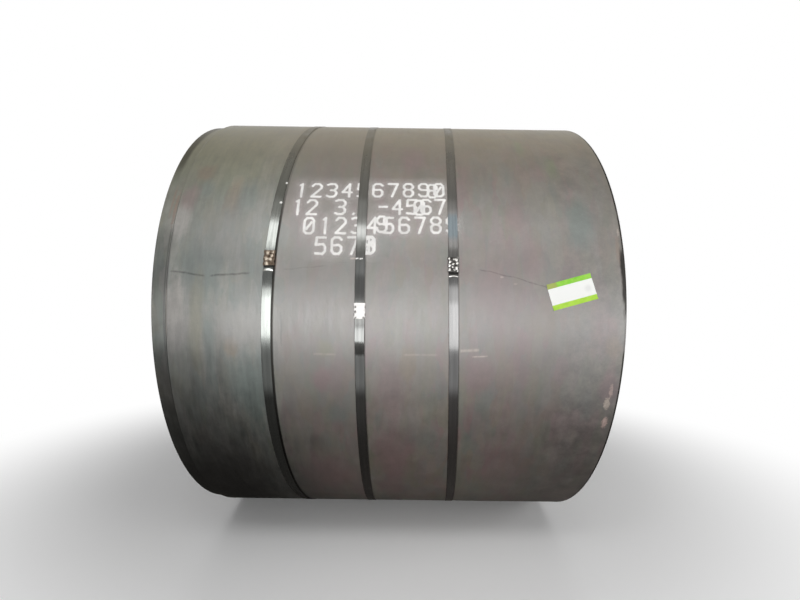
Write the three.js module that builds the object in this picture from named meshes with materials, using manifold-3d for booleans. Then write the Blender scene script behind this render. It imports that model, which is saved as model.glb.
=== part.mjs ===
// A coil of hot-rolled steel strip lying on its side, bound with three steel straps.
// Millimetres. The coil's axis runs along X, Z is up, and the coil rests at z = 0.
//
// Angles go round the axis from the front: 0 faces -Y, 90 is the top, 180 is the back
// and 270 is the bottom.

import * as THREE from 'three';
import { mergeVertices } from 'three/addons/utils/BufferGeometryUtils.js';
import Module from 'manifold-3d';

// ---- driving dimensions ----

const STRIP_WIDTH = 1500;
const STRIP_THICKNESS = 11.75;
const BORE_DIAMETER = 762;
const TURNS = 47;

const TELESCOPE = 52;            // the last turn stands this far to +X of the turn under it
const TELESCOPE_DECAY = 4;       // turns over which the ones under it come back into line
const HEAD_SHIFT = 13;           // the first turn's shift to +X, from when the mandrel came out
const HEAD_DECAY = 1.6;
const WANDER = 5;                // how far the other turns weave from side to side
const FLUSH = 2;                 // turns whose edges differ by less share one step

const TAIL_ANGLE = 249;          // where the strip ends, low at the back
const HEAD_ANGLE = 315;          // where it starts, in the bore
const CLIMB_ANGLE = 60;          // the arc over which a turn climbs onto the next

const STRAP_WIDTH = 32;
const STRAP_THICKNESS = 1;
const STRAP_BURIED = 28;         // how far the strap's lower end runs on above its seal

const SEAL_WIDTH = 38;
const SEAL_LENGTH = 51;
const SEAL_THICKNESS = 1.5;
const NOTCH_WIDTH = 7;
const NOTCH_DEPTH = 1.8;
const NOTCH_SPREAD = 24;

const LABEL_LENGTH = 150;
const LABEL_HEIGHT = 88;
const LABEL_THICKNESS = 0.5;
const LABEL_TILT = 16;
const LABEL_FROM_EDGE = 178;     // its middle, in from the last turn's edge at +X
const LABEL_ANGLE = 11.2;

// Each strap lies in a plane that leans a little. X is where its middle crosses the coil's
// axis, and it stands further along X by FRONT where it faces -Y and by TOP where it faces
// up. FREE_END is how far its upper end runs on below the seal.
const LEFT_X = -315;
const LEFT_FRONT = -84;
const LEFT_TOP = 6;
const LEFT_FREE_END = 46;
const MIDDLE_X = -76;
const MIDDLE_FRONT = -17;
const MIDDLE_TOP = -8;
const MIDDLE_FREE_END = 75;
const RIGHT_X = 285;
const RIGHT_FRONT = -70;
const RIGHT_TOP = -25;
const RIGHT_FREE_END = 16;
const STRAPS = [
  {
    name: 'left', sealAngle: 17.3, freeEnd: LEFT_FREE_END,
    x: LEFT_X, front: LEFT_FRONT, top: LEFT_TOP,
  },
  {
    name: 'middle', sealAngle: 6.8, freeEnd: MIDDLE_FREE_END,
    x: MIDDLE_X, front: MIDDLE_FRONT, top: MIDDLE_TOP,
  },
  {
    name: 'right', sealAngle: 16.4, freeEnd: RIGHT_FREE_END,
    x: RIGHT_X, front: RIGHT_FRONT, top: RIGHT_TOP,
  },
];

const CLEARANCE = 0.3;           // between pieces that lie on each other
const FACETS = 60;               // sides of every round; a multiple of 4 puts a flat underneath
const CUT_MARGIN = 0.1;          // how far a cut runs past the surface it ends at

const boreRadius = BORE_DIAMETER / 2;
const outerRadius = boreRadius + TURNS * STRIP_THICKNESS;
const facetAngle = 360 / FACETS;
const strapLift = CLEARANCE + STRAP_THICKNESS;
const axisHeight = outerRadius * Math.cos(THREE.MathUtils.degToRad(facetAngle / 2)) + strapLift;

// ---- materials ----

const finish = (color, roughness, metalness) =>
  new THREE.MeshStandardMaterial({ color, roughness, metalness });
const millScale = finish(0x6f7173, 0.55, 0.6);
const strapSteel = finish(0x8d949b, 0.35, 0.8);
const sealSteel = finish(0x7d766e, 0.45, 0.7);
const labelPaper = finish(0xe9ece8, 0.8, 0);

// ---- solids and cuts ----

const wasm = await Module();
wasm.setup();

function toSolid(geometry) {
  const bare = geometry.clone();
  bare.deleteAttribute('normal');
  bare.deleteAttribute('uv');
  const merged = mergeVertices(bare, 1e-4);
  return new wasm.Manifold(new wasm.Mesh({
    numProp: 3,
    vertProperties: new Float32Array(merged.attributes.position.array),
    triVerts: new Uint32Array(merged.index.array),
  }));
}

function toGeometry(solid) {
  const { vertProperties, triVerts } = solid.getMesh();
  const geometry = new THREE.BufferGeometry();
  geometry.setAttribute('position', new THREE.BufferAttribute(vertProperties, 3));
  geometry.setIndex(new THREE.BufferAttribute(triVerts, 1));
  geometry.computeVertexNormals();
  return geometry;
}

// ---- places round the axis ----

const wrap = (angle) => ((angle % 360) + 360) % 360;
const arcAngle = (length, radius) => THREE.MathUtils.radToDeg(length / radius);

// The point at an angle and radius, as (y, z) from the axis.
function polar(angle, radius) {
  const a = THREE.MathUtils.degToRad(angle);
  return new THREE.Vector2(-radius * Math.cos(a), radius * Math.sin(a));
}

// A shape drawn in (y, z) about the axis, carried along X from x0 to x1.
const yzToWorld = new THREE.Matrix4().makeBasis(
  new THREE.Vector3(0, 1, 0), new THREE.Vector3(0, 0, 1), new THREE.Vector3(1, 0, 0));

function alongAxis(shape, x0, x1) {
  const geometry = new THREE.ExtrudeGeometry(shape, { depth: x1 - x0, bevelEnabled: false });
  geometry.translate(0, 0, x0);
  return geometry.applyMatrix4(yzToWorld);
}

// ---- the coil ----

// How far the middle of each turn stands from the middle of the coil. Every turn is as wide
// as the strip, so what it stands out by at one end it stands back by at the other.
function turnOffset(turn) {
  const last = TURNS - 1;
  if (turn === last) return TELESCOPE / 2;
  const pulled = Math.exp(-(last - 1 - turn) / TELESCOPE_DECAY);
  const pushed = Math.exp(-turn / HEAD_DECAY);
  const weave = Math.sin(turn * 0.35 + 0.6) * 0.6 + Math.sin(turn * 1.1) * 0.4;
  return -pulled * TELESCOPE / 2 + (1 - pulled) * (WANDER * weave + HEAD_SHIFT * pushed);
}

// Neighbouring turns whose edges lie flush, as steps with an inner and an outer radius.
function endSteps() {
  const steps = [];
  for (let turn = 0; turn < TURNS; turn++) {
    const offset = turnOffset(turn);
    const outer = boreRadius + (turn + 1) * STRIP_THICKNESS;
    const step = steps.at(-1);
    if (step && Math.abs(step.offset - offset) < FLUSH) step.outer = outer;
    else steps.push({ offset, inner: outer - STRIP_THICKNESS, outer });
  }
  return steps;
}

// The coil's section, from the bore out along the -X end and back along the +X end.
function coilProfile() {
  const steps = endSteps();
  const points = [];
  for (const { offset, inner, outer } of steps) {
    const x = offset - STRIP_WIDTH / 2;
    points.push(new THREE.Vector2(inner, x), new THREE.Vector2(outer, x));
  }
  for (const { offset, inner, outer } of steps.reverse()) {
    const x = offset + STRIP_WIDTH / 2;
    points.push(new THREE.Vector2(outer, x), new THREE.Vector2(inner, x));
  }
  points.push(points[0].clone());
  return points;
}

// A lathe turns about Y from +Z; here its axis becomes X and its turn starts at the back.
const latheToWorld = new THREE.Matrix4().makeBasis(
  new THREE.Vector3(0, 0, 1), new THREE.Vector3(1, 0, 0), new THREE.Vector3(0, 1, 0));

function turnedCoil() {
  const start = THREE.MathUtils.degToRad(facetAngle / 2);
  const geometry = new THREE.LatheGeometry(coilProfile(), FACETS, start, 2 * Math.PI);
  return toSolid(geometry.applyMatrix4(latheToWorld));
}

// What is cut away where the strip starts or ends: a wedge as deep as one turn at the
// strip's end that runs out over CLIMB_ANGLE. It lies between a climbing line and a line
// clear of the coil, CUT_MARGIN past the surface at both ends.
function climbCut(endAngle, direction, surfaceRadius, depthSign) {
  const steps = Math.round(CLIMB_ANGLE / facetAngle);
  const clearRadius = surfaceRadius - depthSign * STRIP_THICKNESS;
  const climb = [];
  const clear = [];
  for (let i = 0; i <= steps; i++) {
    const angle = endAngle + direction * CLIMB_ANGLE * i / steps;
    const depth = THREE.MathUtils.lerp(STRIP_THICKNESS + CUT_MARGIN, -CUT_MARGIN, i / steps);
    climb.push(polar(angle, surfaceRadius + depthSign * depth));
    clear.unshift(polar(angle, clearRadius));
  }
  const reach = STRIP_WIDTH / 2 + TELESCOPE + HEAD_SHIFT;
  return toSolid(alongAxis(new THREE.Shape([...climb, ...clear]), -reach, reach));
}

function makeCoil() {
  const tail = climbCut(TAIL_ANGLE, -1, outerRadius, -1);
  const head = climbCut(HEAD_ANGLE, 1, boreRadius, 1);
  return toGeometry(turnedCoil().subtract(tail).subtract(head));
}

// ---- what a strap lies on ----

// How far from the axis the flat of a facet lies at any angle.
function facetRadius(angle) {
  const halfFacet = facetAngle / 2;
  const fromMiddle = wrap(angle + halfFacet) % facetAngle - halfFacet;
  return outerRadius * Math.cos(THREE.MathUtils.degToRad(halfFacet))
    / Math.cos(THREE.MathUtils.degToRad(fromMiddle));
}

// The outline of the coil seen along its axis: the corners of its facets, and the strip's end.
function coilOutline() {
  const corners = [];
  for (let i = 0; i < FACETS; i++) {
    const angle = facetAngle * (i + 0.5);
    const past = wrap(TAIL_ANGLE - angle);
    const depth = past < CLIMB_ANGLE ? STRIP_THICKNESS * (1 - past / CLIMB_ANGLE) : 0;
    corners.push(polar(angle, outerRadius - depth));
  }
  corners.push(polar(TAIL_ANGLE, facetRadius(TAIL_ANGLE)));
  return corners;
}

// A tight strap lies on the outline's hull, so it bridges the step at the strip's end.
function tautLoop(points) {
  const sorted = [...points].sort((p, q) => p.x - q.x || p.y - q.y);
  const chain = (list) => {
    const hull = [];
    for (const p of list) {
      while (hull.length > 1 && turnsLeft(hull.at(-2), hull.at(-1), p) <= 1e-6) hull.pop();
      hull.push(p);
    }
    return hull.slice(0, -1);
  };
  return [...chain(sorted), ...chain(sorted.reverse())];
}

const turnsLeft = (a, b, c) => (b.x - a.x) * (c.y - a.y) - (b.y - a.y) * (c.x - a.x);

const angleOf = (point) => wrap(THREE.MathUtils.radToDeg(Math.atan2(point.y, -point.x)));

const loop = tautLoop(coilOutline())
  .map((point) => ({ angle: angleOf(point), radius: point.length() }))
  .sort((a, b) => a.angle - b.angle);

// The loop's radius at any angle, on the straight side between two of its corners.
function loopRadius(angle) {
  const at = wrap(angle);
  const next = loop.find((corner) => corner.angle > at) ?? loop[0];
  const previous = loop[(loop.indexOf(next) + loop.length - 1) % loop.length];
  const a = polar(previous.angle, previous.radius);
  const b = polar(next.angle, next.radius);
  const out = polar(at, 1);
  return a.cross(b.clone().sub(a)) / out.cross(b.clone().sub(a));
}

// The points over a range of angles, a lift above the loop.
function liftedArc(from, to, lift) {
  const inside = loop
    .flatMap((corner) => [corner.angle - 360, corner.angle, corner.angle + 360])
    .filter((angle) => angle > from + 1e-3 && angle < to - 1e-3)
    .sort((a, b) => a - b);
  return [from, ...inside, to].map((angle) => polar(angle, loopRadius(angle) + lift));
}

// A patch of constant thickness that lies over the loop.
function patch(from, to, lowLift, highLift) {
  return new THREE.Shape([...liftedArc(from, to, lowLift), ...liftedArc(from, to, highLift).reverse()]);
}

// ---- straps and seals ----

// Moves what is drawn round x = 0 to its strap's place, each point along X alone.
function leanWithStrap(geometry, { x, front, top }) {
  const lean = new THREE.Matrix4().set(
    1, -front / outerRadius, top / outerRadius, x,
    0, 1, 0, 0,
    0, 0, 1, 0,
    0, 0, 0, 1);
  return geometry.applyMatrix4(lean);
}

// A strap's ends lie over each other under its seal: the upper one runs on below the seal,
// and the lower one ends above it.
function makeStrap(strap) {
  const { sealAngle, freeEnd } = strap;
  const halfSeal = SEAL_LENGTH / 2;
  const low = sealAngle - arcAngle(halfSeal + freeEnd, outerRadius);
  const high = sealAngle + arcAngle(halfSeal + STRAP_BURIED, outerRadius);
  const lapped = liftedArc(low, high, strapLift + STRAP_THICKNESS);
  const single = liftedArc(high, low + 360, strapLift);
  const shape = new THREE.Shape([...lapped, ...single]);
  const inside = loop.map(({ angle, radius }) => polar(angle, radius + CLEARANCE));
  shape.holes.push(new THREE.Path(inside.reverse()));
  return leanWithStrap(alongAxis(shape, -STRAP_WIDTH / 2, STRAP_WIDTH / 2), strap);
}

// A seal is a clip folded over both layers, with notches crimped into its two sides.
function makeSeal(strap) {
  const { sealAngle } = strap;
  const half = arcAngle(SEAL_LENGTH / 2, outerRadius);
  const from = sealAngle - half;
  const to = sealAngle + half;
  const under = strapLift + STRAP_THICKNESS + CLEARANCE;
  const over = under + SEAL_THICKNESS;
  const edge = SEAL_WIDTH / 2;
  const inner = STRAP_WIDTH / 2 + CLEARANCE;
  let seal = toSolid(alongAxis(patch(from, to, under, over), -edge, edge));
  const side = patch(from, to, CLEARANCE, over);
  for (const [a, b] of [[-edge, -inner], [inner, edge]]) {
    seal = seal.add(toSolid(alongAxis(side, a, b)));
  }
  for (const sideways of [-1, 1]) {
    for (const along of [-1, 1]) {
      const middle = sealAngle + along * arcAngle(NOTCH_SPREAD / 2, outerRadius);
      const reach = arcAngle(NOTCH_WIDTH / 2, outerRadius);
      const notch = patch(middle - reach, middle + reach, 0, over + SEAL_THICKNESS);
      const cut = sideways * (edge - NOTCH_DEPTH);
      const [a, b] = [cut, sideways * (edge + SEAL_THICKNESS)].sort((p, q) => p - q);
      seal = seal.subtract(toSolid(alongAxis(notch, a, b)));
    }
  }
  return leanWithStrap(toGeometry(seal), strap);
}

// ---- label ----

// A tilted rectangle of paper on the round of the coil: a patch of the coil's surface that
// a straight prism, square to it at the label's middle, cuts out.
function makeLabel() {
  const x = (STRIP_WIDTH + TELESCOPE) / 2 - LABEL_FROM_EDGE;
  const reach = Math.hypot(LABEL_LENGTH, LABEL_HEIGHT) / 2;
  const spread = arcAngle(reach, outerRadius) * 1.2;
  const [from, to] = [LABEL_ANGLE - spread, LABEL_ANGLE + spread];
  const sheet = patch(from, to, CLEARANCE, CLEARANCE + LABEL_THICKNESS);
  const strip = toSolid(alongAxis(sheet, x - reach, x + reach));
  const prism = new THREE.BoxGeometry(LABEL_LENGTH, reach, LABEL_HEIGHT);
  prism.rotateY(THREE.MathUtils.degToRad(-LABEL_TILT));
  prism.translate(x, -outerRadius, 0);
  prism.rotateX(THREE.MathUtils.degToRad(-LABEL_ANGLE));
  return toGeometry(strip.intersect(toSolid(prism)));
}

// ---- assembly ----

const coilOnFloor = new THREE.Group();
coilOnFloor.position.z = axisHeight;

function addPiece(name, geometry, material) {
  const piece = new THREE.Mesh(geometry, material);
  piece.name = name;
  coilOnFloor.add(piece);
}

addPiece('coil', makeCoil(), millScale);
for (const strap of STRAPS) {
  addPiece(`${strap.name}_strap`, makeStrap(strap), strapSteel);
  addPiece(`${strap.name}_seal`, makeSeal(strap), sealSteel);
}
addPiece('label', makeLabel(), labelPaper);

export default coilOnFloor;
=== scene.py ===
# %% [markdown]
# # A strapped coil of hot-rolled steel strip
#
# A rolling mill winds its strip on a mandrel while it is still hot, pulls the mandrel out
# and binds the coil with flat steel straps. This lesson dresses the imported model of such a
# coil: the strip itself becomes one long swept band, the straps become ribbons that lap
# under crimped seals, and every finish is worked out by nodes.
#
# Everything is in metres. The coil's axis runs along X and Z is up. Angles go round the
# axis from the front: 0 faces -Y, 90 is the top, 180 is the back and 270 is the bottom.

import bpy
import numpy as np
from mathutils import Matrix, Vector


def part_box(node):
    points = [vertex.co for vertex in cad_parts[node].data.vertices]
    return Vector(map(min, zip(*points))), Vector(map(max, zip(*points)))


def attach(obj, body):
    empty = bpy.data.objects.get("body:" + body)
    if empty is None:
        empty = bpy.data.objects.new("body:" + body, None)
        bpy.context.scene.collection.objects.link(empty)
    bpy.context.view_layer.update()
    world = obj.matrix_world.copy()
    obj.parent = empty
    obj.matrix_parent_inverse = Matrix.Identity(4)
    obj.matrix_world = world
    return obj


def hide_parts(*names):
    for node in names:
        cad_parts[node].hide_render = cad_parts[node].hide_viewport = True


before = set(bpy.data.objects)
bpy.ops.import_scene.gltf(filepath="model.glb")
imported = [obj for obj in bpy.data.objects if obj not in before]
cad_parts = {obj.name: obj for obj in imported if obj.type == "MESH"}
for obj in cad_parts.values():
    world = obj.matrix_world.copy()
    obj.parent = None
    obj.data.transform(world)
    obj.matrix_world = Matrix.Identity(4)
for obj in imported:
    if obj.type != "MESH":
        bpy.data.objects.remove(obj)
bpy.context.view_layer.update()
print("frame:", sorted(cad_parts))

# %% [markdown]
# ## Sizes
#
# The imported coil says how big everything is. Its box gives the outer radius, the height of
# the axis and how far the last turn stands out at the right-hand end. Only sizes that a box
# can't tell, such as the strip's width, are written down here.

# %% Sizes from the frame
coil_low, coil_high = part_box("coil")
RADIUS = (coil_high.z - coil_low.z) / 2
AXIS_HEIGHT = (coil_high.z + coil_low.z) / 2
COIL_RIGHT = coil_high.x
STRIP_WIDTH = 1.5
TELESCOPE = coil_high.x - coil_low.x - STRIP_WIDTH
BORE_RADIUS = 0.381
TURNS = 47
PITCH = (RADIUS - BORE_RADIUS) / TURNS
TURN_GAP = 0.0003
STRIP_THICKNESS = PITCH - TURN_GAP
CLEARANCE = 0.0003
print(f"outer radius {RADIUS:.4f} m, {TURNS} turns of {1000 * STRIP_THICKNESS:.2f} mm strip")

# %% [markdown]
# ## The camera
#
# The camera stands 2.28 m from the coil's axis, a little above it, with a wide lens. It is
# aimed almost level, and its window is shifted up a little instead of tilting the camera,
# which keeps the ends of the coil upright. The whole rig is swung about the coil's own axis
# by the angle it looks down at.

# %% Place the camera
FOCAL_PIXELS = 415.62
FRAME_PIXELS = (800, 600)
PRINCIPAL_POINT = (401.25, 323.18)
SENSOR_WIDTH = 36.0
CAMERA_DISTANCE = 2.2834
CAMERA_X = 0.0392
LOOK_DOWN = np.radians(6.0)
AIM = {"yaw": -0.00228, "pitch": -0.0186, "roll": -0.01365}

camera_data = bpy.data.cameras.new("camera")
camera_data.sensor_width = SENSOR_WIDTH
camera_data.lens = FOCAL_PIXELS / FRAME_PIXELS[0] * SENSOR_WIDTH
camera_data.shift_x = (FRAME_PIXELS[0] / 2 - PRINCIPAL_POINT[0]) / FRAME_PIXELS[0]
camera_data.shift_y = (PRINCIPAL_POINT[1] - FRAME_PIXELS[1] / 2) / FRAME_PIXELS[0]
camera_data.clip_end = 200
camera = bpy.data.objects.new("camera", camera_data)
bpy.context.scene.collection.objects.link(camera)
level_camera = Matrix.Rotation(np.pi / 2, 4, "X")
aim = (Matrix.Rotation(AIM["yaw"], 4, "Z") @ Matrix.Rotation(AIM["pitch"], 4, "X")
       @ Matrix.Rotation(AIM["roll"], 4, "Y"))
about_axis = Matrix.Translation((0, 0, AXIS_HEIGHT)) @ Matrix.Rotation(-LOOK_DOWN, 4, "X")
camera.matrix_world = (about_axis @ Matrix.Translation((CAMERA_X, -CAMERA_DISTANCE, 0))
                       @ aim @ level_camera)
bpy.context.scene.camera = camera
print("camera at", [round(v, 3) for v in camera.matrix_world.translation])

# %% [markdown]
# ## Meshes from grids
#
# Every piece here is a surface of two parameters: how far along a path, and how far round a
# section. Numpy works out all its points as one array of rows and columns. One helper then
# joins neighbouring points into four-sided faces, closes the section, caps both ends and
# turns the faces outwards if the sum of their volumes comes out negative.

# %% The faces of a grid
def grid_faces(rows, columns):
    """The corner numbers of each quad of a grid whose columns close on themselves."""
    row, column = np.meshgrid(np.arange(rows - 1), np.arange(columns), indexing="ij")
    beside = (column + 1) % columns
    corners = [row * columns + column, row * columns + beside,
               (row + 1) * columns + beside, (row + 1) * columns + column]
    return np.stack(corners, -1).reshape(-1, 4)


def signed_volume(points, faces):
    """The sum of the volumes that the faces span with the origin, each face cut into
    triangles from its first corner: positive when they point outwards."""
    total = 0.0
    for face in faces:
        for i in range(1, face.shape[1] - 1):
            a, b, c = points[face[:, 0]], points[face[:, i]], points[face[:, i + 1]]
            total += (np.cross(a, b) * c).sum() / 6
    return total

# %% A closed band from a grid of points
def build_mesh(name, points, faces):
    """Puts an array of points and lists of equal-sided faces into a new mesh object."""
    sizes = np.concatenate([np.full(len(f), f.shape[1]) for f in faces])
    corners = np.concatenate([f.ravel() for f in faces])
    mesh = bpy.data.meshes.new(name)
    mesh.vertices.add(len(points))
    mesh.vertices.foreach_set("co", points.astype(np.float32).ravel())
    mesh.loops.add(len(corners))
    mesh.loops.foreach_set("vertex_index", corners.astype(np.int32))
    mesh.polygons.add(len(sizes))
    mesh.polygons.foreach_set("loop_start", (np.cumsum(sizes) - sizes).astype(np.int32))
    mesh.update(calc_edges=True)
    mesh.validate()
    piece = bpy.data.objects.new(name, mesh)
    bpy.context.scene.collection.objects.link(piece)
    return piece


def finish_mesh(piece, sharp):
    """Shades a mesh smooth, with crisp edges where its faces meet at more than an angle."""
    mesh = piece.data
    mesh.shade_smooth()
    mesh.set_sharp_from_angle(angle=np.radians(sharp))
    print(f"{piece.name}: {len(mesh.vertices)} points, {len(mesh.polygons)} faces")


def band(name, grid, sharp=25.0):
    """A closed solid from a grid of points: each row is a section that closes on itself,
    and the first and last rows are capped. Edges sharper than the given angle stay crisp."""
    rows, columns = grid.shape[:2]
    points = grid.reshape(-1, 3)
    quads = grid_faces(rows, columns)
    caps = np.array([np.arange(columns)[::-1], (rows - 1) * columns + np.arange(columns)])
    faces = [quads, caps]
    if signed_volume(points, faces) < 0:
        faces = [face[:, ::-1] for face in faces]
    piece = build_mesh(name, points, faces)
    finish_mesh(piece, sharp)
    return piece

# %% What a piece carries
def mark(piece, name, values):
    """Stores one number per point under a name that a material can read."""
    attribute = piece.data.attributes.new(name, "FLOAT", "POINT")
    attribute.data.foreach_set("value", np.asarray(values, np.float32).ravel())


def add_piece(piece, material, slot, *nodes):
    """Gives a piece its material, makes it ride on the only body, and says which nodes of
    the frame it stands for."""
    piece.data.materials.append(material)
    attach(piece, "root")
    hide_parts(*nodes)
    print(f"{piece.name}: {material.name}, in place of {', '.join(nodes) or 'nothing'}")

# %% [markdown]
# ## Round the coil
#
# Nearly everything lies on the coil, so a place is given as a distance along the axis, an
# angle and a radius. The second helper is the smooth step that eases one height into the
# next without a kink.

# %% Places and easing
def around(x, degrees, radius):
    """Points at a place along the axis, an angle round it and a radius: y is minus the
    radius times the cosine, z is the axis height plus the radius times the sine."""
    x, degrees, radius = np.broadcast_arrays(x, degrees, radius)
    a = np.radians(degrees)
    return np.stack([x, -radius * np.cos(a), AXIS_HEIGHT + radius * np.sin(a)], -1)


def ease(t):
    """Three t squared less two t cubed, held between 0 and 1."""
    t = np.clip(t, 0, 1)
    return t * t * (3 - 2 * t)


def arc_degrees(length):
    """The angle that a length takes on the coil's outer surface."""
    return np.degrees(length / RADIUS)

# %% [markdown]
# ## The strip, wound up
#
# The real coil is one strip, so this one is too: a flat section with rounded corners,
# carried along a path that goes 46 times round. A true spiral would lift the straps off the
# frame's round shape, so the strip lies at one radius for most of a turn and eases up onto
# the next over a short arc. Those climbs drift a few degrees a turn, from where the strip
# starts in the bore to where its tail ends low at the back.
#
# It was not wound quite straight. The first turns moved when the mandrel came out, the rest
# weave by a few millimetres, and the last turn stands well out over the one beneath.

# %% The path of the strip
HEAD_ANGLE = 315.0
CLIMB = 60.0
CLIMB_EVERY = 354.8          # degrees of path from one climb to the next
FIRST_CLIMB = 360.0 - CLIMB
TAIL = FIRST_CLIMB + CLIMB_EVERY * (TURNS - 2) + 360.0
STEPS_PER_TURN = 170
TELESCOPE_DECAY = 4
SWAY, SWAY_ANGLE, SWAY_POWER = 0.0145, 75.0, 6
HEAD_SHIFT = 0.013
HEAD_DECAY = 1.6
WANDER = 0.005
WEAVES = ((0.6, 0.35, 0.6), (0.4, 1.1, 0.0))     # each one's share, pace and start


def turn_level(path):
    """How many turns the strip has climbed, path degrees from its head: the number of the
    last climb that has begun, plus the eased share of it that is done."""
    since = np.maximum(path - FIRST_CLIMB, 0)
    climb = np.minimum(np.floor(since / CLIMB_EVERY), TURNS - 2)
    level = climb + ease((since - climb * CLIMB_EVERY) / CLIMB)
    return np.where(path < FIRST_CLIMB, 0, level)


def turn_shift(turn):
    """How far a turn stands to +X: each one under the last is pulled back by half the
    telescope, dying away inwards, and the first few were pushed out with the mandrel."""
    under = TURNS - 2 - turn
    pulled = np.exp(-np.maximum(under, 0) / TELESCOPE_DECAY)
    weave = sum(share * np.sin(pace * turn + start) for share, pace, start in WEAVES)
    pushed = HEAD_SHIFT * np.exp(-turn / HEAD_DECAY)
    inner = -pulled * TELESCOPE / 2 + (1 - pulled) * (WANDER * weave + pushed)
    return np.where(under < 0, TELESCOPE / 2, inner)


def sway(turn, degrees):
    """How far the turns under the last one lean out to -X near the top: a bell round
    SWAY_ANGLE, dying away inwards as the telescope does."""
    under = TURNS - 2 - turn
    bell = (0.5 + 0.5 * np.cos(np.radians(degrees - SWAY_ANGLE))) ** SWAY_POWER
    return np.where(under < -0.5, 0, SWAY * bell * np.exp(-np.maximum(under, 0) / TELESCOPE_DECAY))


path = np.linspace(0, TAIL, int(TAIL / 360 * STEPS_PER_TURN) + 1)
level = turn_level(path)
strip_angle = HEAD_ANGLE - path
strip_outer = BORE_RADIUS + (level + 1) * PITCH
shift_by_turn = turn_shift(np.arange(TURNS))
strip_shift = np.interp(level, np.arange(TURNS), shift_by_turn) - sway(level, strip_angle)
print(f"the strip goes round {TAIL / 360:.2f} times, {len(path)} steps")

# %% [markdown]
# The edges of hot-rolled strip are left as the mill rolled them: a little rounded, and never
# quite straight. So each corner of the section gets three points on a small arc, and the two
# edges move in and out along the strip by well under a millimetre, each in its own way.

# %% The strip's section, carried along its path
CORNER = 0.0026
CORNER_STEPS = np.radians([0, 45, 90])
EDGE_WAVES = ((0.0007, 0.83), (0.00035, 2.9), (0.000175, 7.3))    # each one's height and pace


def rounded_section(width, thickness, corner):
    """The points of a flat section with rounded corners, in order round it. Each corner is
    a quarter arc that starts a corner's radius in from the edge and ends that far below the
    face. Gives the side each point is on, its place across the width, its depth below the
    outer face, and how much it belongs to the edge, from 0 to 1."""
    inset = corner * (1 - np.sin(CORNER_STEPS))
    below = corner * (1 - np.cos(CORNER_STEPS))
    inset = np.concatenate([inset, inset[::-1]] * 2)
    depth = np.concatenate([below, thickness - below[::-1], thickness - below, below[::-1]])
    side = np.repeat([1.0, -1.0], 2 * len(CORNER_STEPS))
    return side, side * (width / 2 - inset), depth, 1 - inset / corner


def edge_wave(path, seed):
    """How far one edge stands out of line: the sum of slow waves of unlike lengths."""
    turn = path / 360
    return sum(height * np.sin(2 * np.pi * turn * pace + seed * pace) for height, pace in EDGE_WAVES)


side, across, depth, edge = rounded_section(STRIP_WIDTH, STRIP_THICKNESS, CORNER)
wave = np.where(side > 0, edge_wave(path, 1.0)[:, None], edge_wave(path, 4.0)[:, None])
coil = band("coil_strip", around(strip_shift[:, None] + across + wave, strip_angle[:, None],
                                 strip_outer[:, None] - depth), sharp=15)
mark(coil, "edge", np.tile(edge, len(path)))

# %% [markdown]
# ## The straps
#
# A strap is one steel ribbon, 32 mm wide and 1 mm thick. It is pulled round the coil until
# it is tight, its ends are laid over each other, and a seal is crimped over both. Two things
# make it look pulled and not painted on. Where the strip's tail makes a step, the strap runs
# straight from the step's corner to where it meets the round again, like a belt. And where
# the ends lap, the upper one eases up over the lower and runs on past the seal, with its
# free end sprung up a little.
#
# Nobody wraps a strap quite square to the coil, so each lies in its own leaning plane: its
# place along the axis is a constant, plus a share of the cosine of the angle, plus a share
# of the sine.

# %% Where the straps lie
TAIL_ANGLE = (HEAD_ANGLE - TAIL) % 360
STRAP_WIDTH = 0.032
STRAP_THICKNESS = 0.001
STRAP_BURIED = 0.028         # how far the lower end runs on past the seal
SEAL_LENGTH = 0.051
SEAL_WIDTH = 0.038
SEAL_THICKNESS = 0.0015
STRAPS = {
    "left": {"x": -0.315, "front": -0.084, "top": 0.006, "seal": 17.3, "free": 0.046},
    "middle": {"x": -0.076, "front": -0.017, "top": -0.008, "seal": 6.8, "free": 0.075},
    "right": {"x": 0.285, "front": -0.070, "top": -0.025, "seal": 16.4, "free": 0.016},
}
print(f"{len(STRAPS)} straps; the strip's tail lies at {TAIL_ANGLE:.0f} degrees")

# %% How a tight strap runs
CHORDS = 60                  # how many points on the climb a chord is tried to


def strap_x(strap, degrees):
    """The middle of a strap along the axis: its own place, plus its lean to the front times
    the cosine of the angle, plus its lean to the top times the sine."""
    a = np.radians(degrees)
    return strap["x"] + strap["front"] * np.cos(a) + strap["top"] * np.sin(a)


def round_radius(degrees):
    """The coil's outer radius at an angle: one pitch less at the tail's step, and eased back
    to full over the climb before it."""
    before_tail = (TAIL_ANGLE - degrees) % 360
    return RADIUS - PITCH * np.where(before_tail < CLIMB, 1 - ease(before_tail / CLIMB), 0)


def taut_radius(degrees):
    """The radius of a tight strap: the farthest out of the round itself and of every chord
    from the corner at the tail's step to a point on the climb. A chord's radius comes from
    its ends' radii, each divided into the sine of the angle to the other end."""
    degrees = np.asarray(degrees, float)
    before = np.radians((TAIL_ANGLE - degrees) % 360)[..., None]
    far = np.radians(np.linspace(1, CLIMB, CHORDS))
    far_radius = round_radius(TAIL_ANGLE - np.degrees(far))
    inverse = (np.sin(far - before) / RADIUS + np.sin(before) / far_radius) / np.sin(far)
    chord = np.where(before < far, 1 / np.maximum(inverse, 1 / RADIUS), 0)
    return np.maximum(round_radius(degrees), chord.max(-1))


print("a tight strap clears the round by up to",
      round(1000 * (taut_radius(np.arange(360)) - round_radius(np.arange(360))).max(), 1), "mm")

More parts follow.
